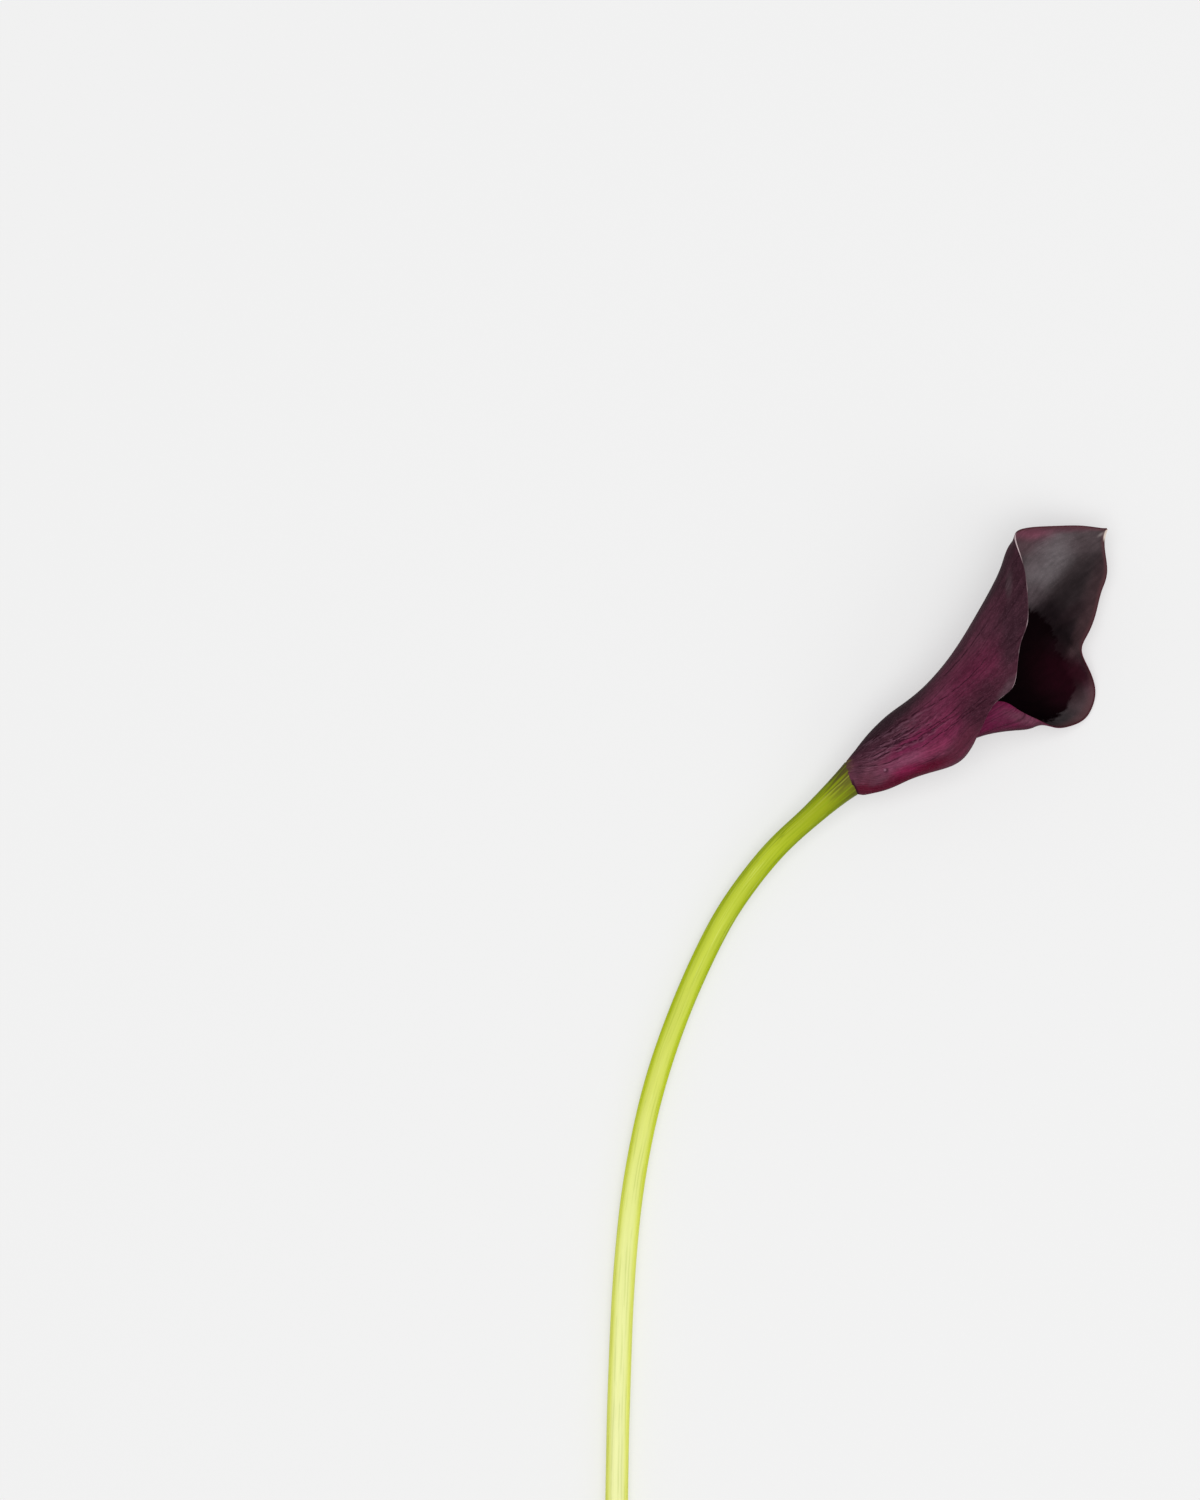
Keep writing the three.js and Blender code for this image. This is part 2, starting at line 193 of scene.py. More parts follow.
# Relief of the sheet. A size is a length and a width over which it repeats.
CRINKLE_DEPTH = 0.11
CRINKLE_LENGTH = 34                              # stations over which the crinkles fade
CRINKLE_REST = 0.22                              # share of their depth that is left beyond
CRINKLE_SIZE = (11, 3.1)
FINE_CRINKLE_SIZE = (5.5, 1.5)
UNDULATION = 0.22
UNDULATION_LENGTH = 24
UNDULATION_WAVES = 6.5                           # from margin to margin
UNDULATION_START = 30                            # station from which it has its full height
VEIN_GROOVE = 0.045
VEIN_SIZE = (70, 3.6)
VEIN_WIDTH = 0.12                                # share of the distance between two veins
VEIN_WANDER = 1.6
VEIN_WANDER_SIZE = (40, 22)
VEIN_TWIST = 45                                  # degrees that the veins turn near the foot
VEIN_TWIST_LENGTH = 8
VEIN_STEP = 0.19                                 # millimetres for each degree round the throat
INNER_RELIEF = 0.35                              # how much of the relief shows inside
CALM_MARGIN = 1.5                                # no relief this near a margin
CALM_TIP = (3, 8)                                # nor this near the tip, and its fade
BLISTER_PLACE = (9.3, 5.7)                       # along and across, on the upper side
BLISTER_RADIUS = 0.55
BLISTER_HEIGHT = 0.28
UPPER_SIDE_ABOVE = 17

STEM_SIDES = 96
STEM_RINGS = 430
RING_CROWDING = 0.35                             # how much closer rings lie under the bloom
STEM_JOIN_LENGTH = 5.5                           # where the stalk lines up with the bloom's foot
NECK = ((0.25, 4.95), (0.6, 4.6), (0.85, 4.0), (1.0, 3.2), (1.3, SEAT_RADIUS))   # distance up, radius
STEM_RIB = 0.09
STEM_RIB_SIZE = (2.3, 85)                        # waves across the stem, and their length
STEM_FINE_RIB_SHARE = 0.55
STEM_FINE_RIB_SIZE = (5.2, 60)
STEM_LUMP = 0.07
STEM_LUMP_SIZE = (0.8, 26)
CALM_CUT = (3, 0.35)                             # length at the cut with less relief, and what is left of it
SEAT_SHORTER = 0.1
SLICE_RINGS = 12                                 # rings across the cut face
SLICE_CENTRE = 0.35                              # the middle's radius, in ring widths
CUT_HOLLOW = 0.32
CUT_BEVEL = 0.10
CUT_BUMPS = 0.05
CUT_BUMP_WAVES = 9

FLORETS_AROUND = 24
FLORET_ROWS = 50
FLORET_SIDES = 7                                 # mesh columns to a floret
FLORET_RINGS = 6                                 # mesh rings to a row of florets
FLORET_DOME = 0.5
FLORET_HEIGHTS = (0.75, 0.35)                    # least share of the dome's height, and what is added to it
FLORET_RADIUS = 0.6                              # in florets
SPADIX_BARE_ENDS = 0.05                          # share of its length where the florets fade
SPADIX_LEAST_RADIUS = 0.02

# ---- Camera, light and floor ----------------------------------------------------------------------
CAMERA_OVER = (-0.08205, 0.10743)                # the middle of the photo's view
CAMERA_RANGE = 4.8                               # to the height where the view is 480 mm long
VIEW_LENGTH = 0.480
MID_HEIGHT = 0.020
SENSOR = 36.0
SURROUNDINGS = 0.42                              # light from all round
BACKDROP = 0.88                                  # what the camera sees past the floor

FLOOR_HALF = 9.0
FLOOR_STEPS = 12
FLOOR_WHITE = (0.40, 0.40, 0.40)
FLOOR_TOOTH = (0.37, 0.37, 0.37)
FLOOR_GLOW = 0.451                               # the board is lit from behind, so shadows stay faint


# ---- Curves and the rolled sheet ------------------------------------------------------------------
def smooth_curve(rows):
    """Natural cubic spline through rows of (position, value, value, ...)."""
    table = np.array(rows, float)
    x = table[:, 0]
    y = table[:, 1:]
    h = np.diff(x)
    count = len(x)
    matrix = np.zeros((count, count))
    right = np.zeros_like(y)
    matrix[0, 0] = matrix[-1, -1] = 1
    for i in range(1, count - 1):
        matrix[i, i - 1:i + 2] = h[i - 1], 2 * (h[i - 1] + h[i]), h[i]
        right[i] = 6 * ((y[i + 1] - y[i]) / h[i] - (y[i] - y[i - 1]) / h[i - 1])
    bend = np.linalg.solve(matrix, right)

    def value(position):
        position = np.asarray(position, float)
        i = np.clip(np.searchsorted(x, position, side="right") - 1, 0, count - 2)
        after = (position - x[i])[..., None]
        before = (x[i + 1] - position)[..., None]
        step = h[i][..., None]
        return (
            (bend[i] * before ** 3 + bend[i + 1] * after ** 3) / (6 * step)
            + (y[i] / step - bend[i] * step / 6) * before
            + (y[i + 1] / step - bend[i + 1] * step / 6) * after
        )

    return value


throat = smooth_curve(THROAT)
lobe_belly = smooth_curve(LOBE_BELLY)


def bloom_point(along, across, height):
    """Bloom frame to the row frame, in millimetres."""
    c = math.cos(BLOOM_TURN)
    s = math.sin(BLOOM_TURN)
    x = BLOOM_BASE[0] + along * c + across * s
    y = BLOOM_BASE[1] + along * s - across * c
    return np.stack(np.broadcast_arrays(x, y, height), -1)


def throat_axis(station):
    section = throat(station)
    return bloom_point(station, section[..., 0], section[..., 1])


def bloom_place(points):
    """Row frame to (along, across, height), the way back."""
    c = math.cos(BLOOM_TURN)
    s = math.sin(BLOOM_TURN)
    x = points[..., 0] - BLOOM_BASE[0]
    y = points[..., 1] - BLOOM_BASE[1]
    return np.stack([x * c + y * s, x * s - y * c, points[..., 2]], -1)


def roll_offset(station, degrees):
    """Radius that the roll adds or takes off at an angle, until it opens into a fan."""
    rolled = np.clip((ROLL_ENDS[1] - station) / (ROLL_ENDS[1] - ROLL_ENDS[0]), 0, 1)
    return ROLL_PITCH * rolled * (180 - degrees) / 360


def belly_swell(station, degrees):
    belly = lobe_belly(station)
    return belly[..., 0] * np.exp(-(((degrees - belly[..., 1]) / BELLY_WIDTH) ** 2))


def margin_curve(places, degrees):
    """A margin's places as a curve of shift along, angle round the throat and reach in radii."""
    rows = []
    for station, along, across, height in places:
        throat_across, throat_height, radius_across, radius_up = throat(float(station))
        right = across - throat_across
        up = height - throat_height
        reach = 1
        for _ in range(MARGIN_ROUNDS):
            roll = float(roll_offset(station, degrees))
            rise = up / (radius_up * reach + roll)
            run = right / (radius_across * reach + roll)
            bearing = math.degrees(math.atan2(rise, run))
            degrees = bearing + 360 * round((degrees - bearing) / 360)
            c = math.cos(math.radians(degrees))
            s = math.sin(math.radians(degrees))
            beyond_roll = math.hypot(right - roll * c, up - roll * s)
            reach = beyond_roll / math.hypot(radius_across * c, radius_up * s)
        swell = float(belly_swell(float(station), degrees))
        rows.append((station, along - station, degrees, reach - swell))
    return smooth_curve(rows)


over_margin = margin_curve(OVER_MARGIN, OVER_START)
under_margin = margin_curve(UNDER_MARGIN, UNDER_START)


def sheet_degrees(station, share):
    """Angle round the throat, 0 on the wrapped-over margin and 1 on the tucked-under one."""
    over = over_margin(station)[..., 1]
    return over + (under_margin(station)[..., 1] - over) * share


def sheet_point(station, share):
    """Middle of the sheet, as the CAD model has it."""
    station = np.asarray(station, float)
    section = throat(station)
    over = over_margin(station)
    under = under_margin(station)
    degrees = sheet_degrees(station, share)
    angle = np.radians(degrees)
    over_lip = np.clip(1 - share / OVER_LIP_SHARE, 0, 1) ** LIP_SHARPNESS
    under_lip = np.clip(1 - (1 - share) / UNDER_LIP_SHARE, 0, 1) ** LIP_SHARPNESS
    reach = 1 + (over[..., 2] - 1) * over_lip + (under[..., 2] - 1) * under_lip
    reach = reach + belly_swell(station, degrees)
    roll = roll_offset(station, degrees)
    slant = BASE_SLANT * np.cos(angle) * np.clip(1 - station / BASE_LENGTH, 0, 1) ** 2
    return bloom_point(
        station + over[..., 0] * over_lip + under[..., 0] * under_lip - slant,
        section[..., 0] + (section[..., 2] * reach + roll) * np.cos(angle),
        section[..., 1] + (section[..., 3] * reach + roll) * np.sin(angle),
    )


def unit(vectors):
    return vectors / np.maximum(np.linalg.norm(vectors, axis=-1, keepdims=True), 1e-9)


def sheet_normal(station, share):
    """Direction out of the roll, square to the sheet."""
    along, around = NORMAL_STEPS
    forward = sheet_point(station + along, share) - sheet_point(station - along, share)
    sideways = sheet_point(station, share + around) - sheet_point(station, share - around)
    return unit(np.cross(forward, sideways))


def fade_out(value, length):
    """1 at zero, falling smoothly to 0 at length."""
    return np.clip(1 - value / length, 0, 1) ** 2


def vein_line(station, degrees):
    """Where a point lies among the veins, in millimetres: they run lengthwise and twist at the foot."""
    return (degrees - VEIN_TWIST * np.exp(-np.maximum(station, 0) / VEIN_TWIST_LENGTH)) * VEIN_STEP


def grain_field(*axes):
    """Smooth noise, -1 to 1, at places given by up to three arrays. A plain number picks other noise."""
    shape = np.broadcast_shapes(*[np.shape(axis) for axis in axes])
    columns = [np.broadcast_to(axis, shape).ravel() for axis in axes]
    columns += [np.zeros(columns[0].shape)] * (3 - len(columns))
    return np.array([noise.noise(place) for place in zip(*columns)]).reshape(shape)


# ---- Making a mesh --------------------------------------------------------------------------------
def keep_in_cad_box(points):
    """The dressed flower never reaches past the CAD model's box."""
    low, high = (np.array(corner) / MM for corner in cad_box)
    return np.clip(points, low, high)


def make_piece(name, points, faces, finishes, finish_of_face, marks):
    """A mesh object in metres. marks are the named values on its points that the finishes read."""
    mesh = bpy.data.meshes.new(name)
    mesh.from_pydata((keep_in_cad_box(points) * MM).tolist(), [], faces)
    for material in finishes:
        mesh.materials.append(material)
    mesh.polygons.foreach_set("material_index", np.asarray(finish_of_face, np.int32))
    for mark, values in marks.items():
        values = np.asarray(values, np.float32)
        is_vector = values.ndim == 2
        layer = mesh.attributes.new(mark, "FLOAT_VECTOR" if is_vector else "FLOAT", "POINT")
        layer.data.foreach_set("vector" if is_vector else "value", values.ravel())
    mesh.shade_smooth()
    mesh.update()
    made = bpy.data.objects.new(name, mesh)
    bpy.context.scene.collection.objects.link(made)
    return made


def ring_faces(rings, sides):
    """Quads between rings of equal point count, one after the other."""
    faces = []
    for r in range(rings - 1):
        for k in range(sides):
            a = r * sides + k
            b = r * sides + (k + 1) % sides
            faces.append((a, a + sides, b + sides, b))
    return faces


# ---- Spathe ---------------------------------------------------------------------------------------
def sheet_stations():
    """Stations of the sheet's rows, closer together at the foot and at the tip."""
    u = np.linspace(0, 1, SHEET_ROWS)
    end = BLOOM_LENGTH - TIP_BLUNTNESS
    rows = -BASE_LAP + (end + BASE_LAP) * (u * (1 + ROW_CROWDING * (1 - u)))
    return np.concatenate([FOOT_ROWS, rows[rows > EVEN_ROWS_FROM]])


def sheet_shares(stations):
    """Shares of the columns, row by row, with columns at fixed distances from both free margins."""
    points = sheet_point(stations[:, None], np.linspace(0, 1, GIRTH_SAMPLES)[None, :])
    girth = np.linalg.norm(np.diff(points, axis=1), axis=-1).sum(1)
    steps = np.array(EDGE_STEPS)
    even = np.linspace(0, 1, SHEET_COLUMNS)
    edge = np.minimum(steps[None, :] / girth[:, None], even[None, :len(steps)] * 2)
    middle = np.linspace(0, 1, SHEET_COLUMNS - 2 * len(steps) + 2)[1:-1]
    first = edge[:, -1:]
    body = first + (1 - 2 * first) * middle[None, :]
    return np.concatenate([edge, body, 1 - edge[:, ::-1]], 1), girth


def over_size(station, cross, size, *seed):
    """Noise that repeats over a size's length and width."""
    return grain_field(station / size[0], cross / size[1], *seed)


def sheet_relief(station, cross):
    """How far the outer skin stands proud: crinkles near the foot, shallow grooves over the veins."""
    near_foot = CRINKLE_REST + (1 - CRINKLE_REST) * np.exp(-((station / CRINKLE_LENGTH) ** 2))
    crinkle = over_size(station, cross, CRINKLE_SIZE)
    crinkle = crinkle + 0.5 * over_size(station, cross, FINE_CRINKLE_SIZE, 7.0)
    wander = VEIN_WANDER * over_size(station, cross, VEIN_WANDER_SIZE, 3.0)
    ribs = np.abs(over_size(station, cross + wander, VEIN_SIZE, 11.0))
    groove = np.clip(1 - ribs / VEIN_WIDTH, 0, 1)
    return CRINKLE_DEPTH * near_foot * crinkle - VEIN_GROOVE * groove


def blister(station, share):
    """A tiny raised blister near the foot of the bloom."""
    place = bloom_place(sheet_point(station, share))
    away = np.hypot(place[..., 0] - BLISTER_PLACE[0], place[..., 1] - BLISTER_PLACE[1])
    on_top = place[..., 2] > UPPER_SIDE_ABOVE
    return np.where(on_top, BLISTER_HEIGHT * np.exp(-((away / BLISTER_RADIUS) ** 2)), 0)


def sheet_middle(station, share, outward):
    """The sheet's middle, gently undulating, with its foot turned in to sit on the stem's top."""
    wave = UNDULATION * grain_field(station / UNDULATION_LENGTH, share * UNDULATION_WAVES, 21.0)
    wave = wave * np.clip(station / UNDULATION_START, 0, 1)
    middle = sheet_point(station, share) + outward * wave[..., None]
    from_axis = middle - throat_axis(station)
    wanted = STEM_TOP_RADIUS + BASE_CLEARANCE - SHEET_THICKNESS / 2
    outer_turn = np.clip((TUCKED_BELOW[0] - sheet_degrees(station, share)) / TUCKED_BELOW[1], 0, 1)
    tuck = fade_out(station + BASE_LAP, BASE_TUCK) * outer_turn
    pull = np.clip(np.linalg.norm(from_axis, axis=-1) - wanted, 0, None) * tuck
    return middle - unit(from_axis) * pull[..., None]


def sheet_skins(station, share, cross, margin):
    """Outer and inner skin: thin and rounded at the margins, with the relief of veins and crinkles."""
    outward = sheet_normal(station, share)
    middle = sheet_middle(station, share, outward)
    body = MARGIN_THICKNESS + (SHEET_THICKNESS - MARGIN_THICKNESS) * np.clip(margin / MARGIN_BAND, 0, 1)
    rounding = np.clip(margin / (MARGIN_THICKNESS / 2), 0, 1)
    half = body / 2 * np.sqrt(1 - (1 - rounding) ** 2)
    calm = np.clip(margin / CALM_MARGIN, 0, 1)
    calm = calm * np.clip((BLOOM_LENGTH - CALM_TIP[0] - station) / CALM_TIP[1], 0, 1)
    relief = (sheet_relief(station, cross) + blister(station, share)) * calm
    outer = middle + outward * (half + relief)[..., None]
    inner = middle - outward * (half - INNER_RELIEF * relief)[..., None]
    # pressed flat where the far lobe rests on the floor
    pressed = outer[..., 2] < 0
    inner[..., 2] = np.where(pressed, np.maximum(inner[..., 2], 2 * half), inner[..., 2])
    outer[..., 2] = np.maximum(outer[..., 2], 0)
    return outer, inner


def sheet_faces(rows, columns):
    """Faces of the closed sheet and their finishes. A row is a ring: along the outer skin, back inside."""
    sides = 2 * columns - 2
    faces = ring_faces(rows, sides)
    finish = [0 if k < columns - 1 else 1 for _ in range(rows - 1) for k in range(sides)]
    for start, flip in ((0, False), ((rows - 1) * sides, True)):
        for k in range(columns - 1):
            across = (sides - k) % sides
            across_next = (sides - k - 1) % sides
            quad = [start + k, start + k + 1, start + across_next, start + across]
            corners = tuple(dict.fromkeys(quad))
            faces.append(corners[::-1] if flip else corners)
            finish.append(0)
    return faces, finish


def spathe():
    """The rolled sheet with its two skins and rounded margins."""
    stations = sheet_stations()
    share, girth = sheet_shares(stations)
    station = np.broadcast_to(stations[:, None], share.shape)
    degrees = sheet_degrees(station, share)
    cross = vein_line(station, degrees)
    margin = np.minimum(share, 1 - share) * girth[:, None]

    def round_trip(values, values_inside):
        return np.concatenate([values, values_inside[:, -2:0:-1]], 1)

    def mark(values):
        return round_trip(values, values).reshape(len(points), -1).squeeze()

    points = round_trip(*sheet_skins(station, share, cross, margin)).reshape(-1, 3)
    faces, finish = sheet_faces(*share.shape)
    marks = {
        "sheet": mark(np.stack([station, cross, degrees / 360], -1)),
        "place": bloom_place(points),
        "from_margin": mark(margin),
        "share": mark(share),
    }
    finishes = [spathe_outside(), spathe_inside()]
    return make_piece("spathe_sheet", points, faces, finishes, finish, marks)


# ---- Stem -----------------------------------------------------------------------------------------
def stem_plan():
    """Centripetal spline through STEM_PLAN, read by the length run along it."""
    knots = np.array(STEM_PLAN, float) + np.array(BLOOM_BASE)
    knots = np.vstack([2 * knots[0] - knots[1], knots, 2 * knots[-1] - knots[-2]])
    samples = []
    for i in range(1, len(knots) - 2):
        p0, p1, p2, p3 = knots[i - 1:i + 3]
        d0, d1, d2 = (math.sqrt(np.linalg.norm(b - a)) for a, b in ((p0, p1), (p1, p2), (p2, p3)))
        lead_in = ((p1 - p0) / d0 - (p2 - p0) / (d0 + d1) + (p2 - p1) / d1) * d1
        lead_out = ((p2 - p1) / d1 - (p3 - p1) / (d1 + d2) + (p3 - p2) / d2) * d1
        w = np.linspace(0, 1, SPLINE_STEPS, endpoint=False)[:, None]
        square = -3 * p1 + 3 * p2 - 2 * lead_in - lead_out
        cube = 2 * p1 - 2 * p2 + lead_in + lead_out
        samples.append(p1 + lead_in * w + square * w ** 2 + cube * w ** 3)
    samples = np.vstack(samples + [knots[-2][None, :]])
    run = np.concatenate([[0], np.cumsum(np.linalg.norm(np.diff(samples, axis=0), axis=1))])
    return samples, run


def stem_radius(distance, length):
    flare = fade_out(distance, STEM_FLARE_LENGTH)
    stout = (distance / length) ** 2
    return STEM_RADIUS + (STEM_TOP_RADIUS - STEM_RADIUS) * flare + (STEM_CUT_RADIUS - STEM_RADIUS) * stout


def rings_about(centres, tangents, sides, reach, slant):
    """Rings of points: reach is the radius at each point, slant leans a ring back at its right side."""
    right = unit(np.stack([tangents[:, 1], -tangents[:, 0], np.zeros(len(tangents))], -1))
    up = unit(np.cross(right, tangents))
    c, s = (row[..., None] for row in circle(sides))
    return (
        centres[:, None, :]
        + right[:, None, :] * reach[..., None] * c
        + up[:, None, :] * reach[..., None] * s
        - tangents[:, None, :] * slant[:, None, None] * c
    )


def circle(sides):
    """Cosines and sines of a ring's points, each as one row."""
    angles = np.arange(sides) * 2 * math.pi / sides
    return np.cos(angles)[None, :], np.sin(angles)[None, :]


def ring_ends(rings, sides):
    """The two faces that close a stack of rings."""
    return [tuple(range(sides)), tuple((rings - 1) * sides + k for k in reversed(range(sides)))]


def stem_course():
    """Rings from the cut end to the neck: distance below the bloom, centre, tangent, radius and slant."""
    plan, run = stem_plan()
    length = run[-1]
    u = np.linspace(0, 1, STEM_RINGS)
    distance = length * (1 - u) * (1 - RING_CROWDING * u)
    flat_side = math.cos(math.pi / STEM_CAD_SIDES)

    def centre_at(d):
        d = np.clip(d, 0, length)
        x = np.interp(d, run, plan[:, 0])
        y = np.interp(d, run, plan[:, 1])
        lying = np.minimum(stem_radius(d, length), STEM_CUT_RADIUS) * flat_side
        return np.stack([x, y, lying + STEM_RISE * fade_out(d, STEM_LIFT_LENGTH)], -1)

    ahead = np.array([math.cos(BLOOM_TURN), math.sin(BLOOM_TURN), 0.0])
    top = throat_axis(0.0) - ahead * GAP
    join = fade_out(distance, STEM_JOIN_LENGTH)[:, None]
    centres = centre_at(distance) + (top - centre_at(np.array([0.0]))[0]) * join
    tangents = unit(centre_at(distance - COURSE_STEP) - centre_at(distance + COURSE_STEP))
    tangents = unit(tangents * (1 - join) + ahead * join)
    slant = BASE_SLANT * fade_out(distance, STEM_FLARE_LENGTH)

    # the neck that carries the spathe: a shoulder, then the slim seat inside
    neck = np.array(NECK)
    seat_end = throat_axis(np.array([SEAT_LENGTH - SEAT_SHORTER]))
    return (
        np.concatenate([distance, -neck[:, 0], [-SEAT_LENGTH]]),
        np.vstack([centres, top + ahead * neck[:, :1], seat_end]),
        np.vstack([tangents, np.tile(ahead, (len(neck) + 1, 1))]),
        np.concatenate([stem_radius(distance, length), neck[:, 1], [SEAT_RADIUS]]),
        np.concatenate([slant, np.full(len(neck), BASE_SLANT), [0.0]]),
    )


def cut_face(rim, inward, shares):
    """Rings that shrink to the middle of the cut face, hollowed a little inside a bevelled rim."""
    middle = rim.mean(0)
    c, s = circle(STEM_SIDES)
    rings = []
    for share in shares:
        waves = CUT_BUMP_WAVES * share
        bumps = CUT_BUMPS * share * grain_field(c[0] * waves, s[0] * waves, 4.0)
        sunk = CUT_HOLLOW * (1 - share ** 2) - CUT_BEVEL * (share == shares[-1])
        rings.append(middle + (rim - middle) * share + inward * (sunk + bumps)[:, None])
    return np.array(rings)


def stem_noise(distance, size, shift=0):
    """Noise over the stalk's skin, with so many waves across the stem and of such a length."""
    c, s = circle(STEM_SIDES)
    return grain_field(c * size[0], s * size[0], distance[:, None] / size[1] + shift)


def stem():
    """The stalk from its cut end to the neck inside the spathe's foot."""
    distance, centres, tangents, radius, slant = stem_course()
    ribs = stem_noise(distance, STEM_RIB_SIZE)
    ribs = ribs + STEM_FINE_RIB_SHARE * stem_noise(distance, STEM_FINE_RIB_SIZE, 9)
    lumps = stem_noise(distance, STEM_LUMP_SIZE, 31)
    calm = np.clip((distance[0] - distance) / CALM_CUT[0], CALM_CUT[1], 1)
    reach = radius[:, None] + (STEM_RIB * ribs + STEM_LUMP * lumps) * calm[:, None]
    stalk = rings_about(centres, tangents, STEM_SIDES, reach, slant)
    stalk[..., 2] = np.maximum(stalk[..., 2], 0)

    shares = 1 - np.arange(SLICE_RINGS, 0, -1) / (SLICE_RINGS + SLICE_CENTRE)
    points = np.concatenate([cut_face(stalk[0], tangents[0], shares), stalk])
    faces = ring_faces(len(points), STEM_SIDES) + ring_ends(len(points), STEM_SIDES)

    # where each point lies in the plant: distance below the bloom, then its place in the section
    c, s = circle(STEM_SIDES)
    below = np.concatenate([np.full(SLICE_RINGS, distance[0]), distance])[:, None]
    size = STEM_RADIUS * np.concatenate([shares, np.ones(len(distance))])[:, None]
    is_cut = np.concatenate([np.ones(SLICE_RINGS), np.zeros(len(distance))])
    marks = {
        "stalk": np.stack(np.broadcast_arrays(below, c * size, s * size), -1).reshape(-1, 3),
        "cut": np.repeat(is_cut, STEM_SIDES),
    }
    return make_piece("stem_stalk", points.reshape(-1, 3), faces, [stem_skin()], [0] * len(faces), marks)


# ---- Spadix ---------------------------------------------------------------------------------------
def finger_radius(t):
    """Slim foot, full middle, round tip."""
    foot = SEAT_RADIUS + (SPADIX_RADIUS - SEAT_RADIUS) * np.sqrt(np.clip(t / SPADIX_FOOT, 0, 1))
    round_tip = np.sqrt(np.clip(1 - np.clip(1 - (1 - t) / SPADIX_ROUND, 0, 1) ** 2, 0, 1))
    return foot * round_tip * (1 - SPADIX_TAPER * t)


def floret_dome(row, turn):
    """Height, 0 to 1, of the nearest floret's dome, and a number that differs between florets."""
    dome = np.zeros(np.broadcast_shapes(row.shape, turn.shape))
    which = np.zeros_like(dome)
    for side in (0, 1):
        nearest = np.floor(row) + side
        shifted = turn + 0.5 * (nearest % 2)
        column = np.round(shifted)
        away = (shifted - column) ** 2 + (row - nearest) ** 2
        height = np.sqrt(np.clip(1 - away / FLORET_RADIUS ** 2, 0, 1))
        # the large factors only scatter the numbers
        own = np.sin(nearest * 12.99 + (column % FLORETS_AROUND) * 78.2) % 1
        which = np.where(height > dome, own, which)
        dome = np.maximum(dome, height)
    return dome, which


def spadix():
    """The finger in the throat, covered with small domed florets."""
    rings = FLORET_ROWS * FLORET_RINGS + 1
    sides = FLORETS_AROUND * FLORET_SIDES
    t = np.linspace(0, 1, rings)
    start = SEAT_LENGTH + GAP
    station = start + (SPADIX_END - start) * t
    tangents = unit(throat_axis(station + 0.5) - throat_axis(station - 0.5))
    dome, which = floret_dome((t * FLORET_ROWS)[:, None], (np.arange(sides) / FLORET_SIDES)[None, :])
    near_end = np.clip(np.minimum(t, 1 - t) / SPADIX_BARE_ENDS, 0, 1)[:, None]
    florets = FLORET_DOME * dome * (FLORET_HEIGHTS[0] + FLORET_HEIGHTS[1] * which) * near_end
    reach = np.maximum(finger_radius(t)[:, None] - FLORET_DOME / 2 + florets, SPADIX_LEAST_RADIUS)
    points = rings_about(throat_axis(station), tangents, sides, reach, np.zeros(rings)).reshape(-1, 3)
    faces = ring_faces(rings, sides) + ring_ends(rings, sides)
    marks = {"floret": dome.ravel(), "which": which.ravel(), "place": bloom_place(points)}
    return make_piece("spadix_finger", points, faces, [spadix_skin()], [0] * len(faces), marks)


# ---- Node tools -----------------------------------------------------------------------------------
class Reading:
    """What a node puts out. Arithmetic on a reading adds Math nodes to the reading's own tree."""

    def __init__(self, socket):
        self.socket = socket

    def __add__(self, other):
        return calc("ADD", self, other)

    def __sub__(self, other):
        return calc("SUBTRACT", self, other)

    def __rsub__(self, other):
        return calc("SUBTRACT", other, self)

    def __mul__(self, other):
        return calc("MULTIPLY", self, other)

    def __truediv__(self, other):
        return calc("DIVIDE", self, other)

    def __rtruediv__(self, other):
        return calc("DIVIDE", other, self)

    def __abs__(self):
        return calc("ABSOLUTE", self)

    __radd__ = __add__


def feed(socket, value):
    """Gives an input a number, a colour or the reading that drives it."""
    if isinstance(value, Reading):
        socket.id_data.links.new(value.socket, socket)
    elif socket.type == "RGBA" and len(value) == 3:
        socket.default_value = (*value, 1.0)
    else:
        socket.default_value = value


def add(tree, kind, options=None, **inputs):
    """A shader node with its options and inputs set. An input's spaces are written as underscores."""
    made = tree.nodes.new("ShaderNode" + kind)
    for option, value in (options or {}).items():
        setattr(made, option, value)
    for name, value in inputs.items():
        feed(made.inputs[name.replace("_", " ")], value)
    return made


def tree_of(values):
    """The node tree that the readings among some values belong to."""
    return next(value.socket.id_data for value in values if isinstance(value, Reading))


def read_node(kind, output, options=None, **inputs):
    """Adds a node beside the readings that feed it, and reads one of its outputs."""
    made = add(tree_of(inputs.values()), kind, options, **inputs)
    return Reading(made.outputs[output])


def in_order(kind, options, inputs, values):
    """Adds a node whose inputs are given by their order instead of by name."""
    made = add(tree_of(values), kind, options)
    for index, value in zip(inputs, values):
        feed(made.inputs[index], value)
    return made


def calc(operation, *values):
    """One number worked out from one or two others."""
    return Reading(in_order("Math", {"operation": operation}, range(len(values)), values).outputs[0])


def vector_calc(operation, *values):
    made = in_order("VectorMath", {"operation": operation}, range(len(values)), values)
    return Reading(made.outputs["Value" if operation == "LENGTH" else "Vector"])


def strongest(readings):
    """The largest of several numbers at each place."""
    most = readings[0]
    for reading in readings[1:]:
        most = calc("MAXIMUM", most, reading)
    return most


def spread(value, low, high, to_low=0.0, to_high=1.0):
    """Eases a number from one range to another."""
    values = (value, low, high, to_low, to_high)
    names = ("Value", "From Min", "From Max", "To Min", "To Max")
    made = in_order("MapRange", {"interpolation_type": "SMOOTHSTEP"}, names, values)
    return Reading(made.outputs["Result"])


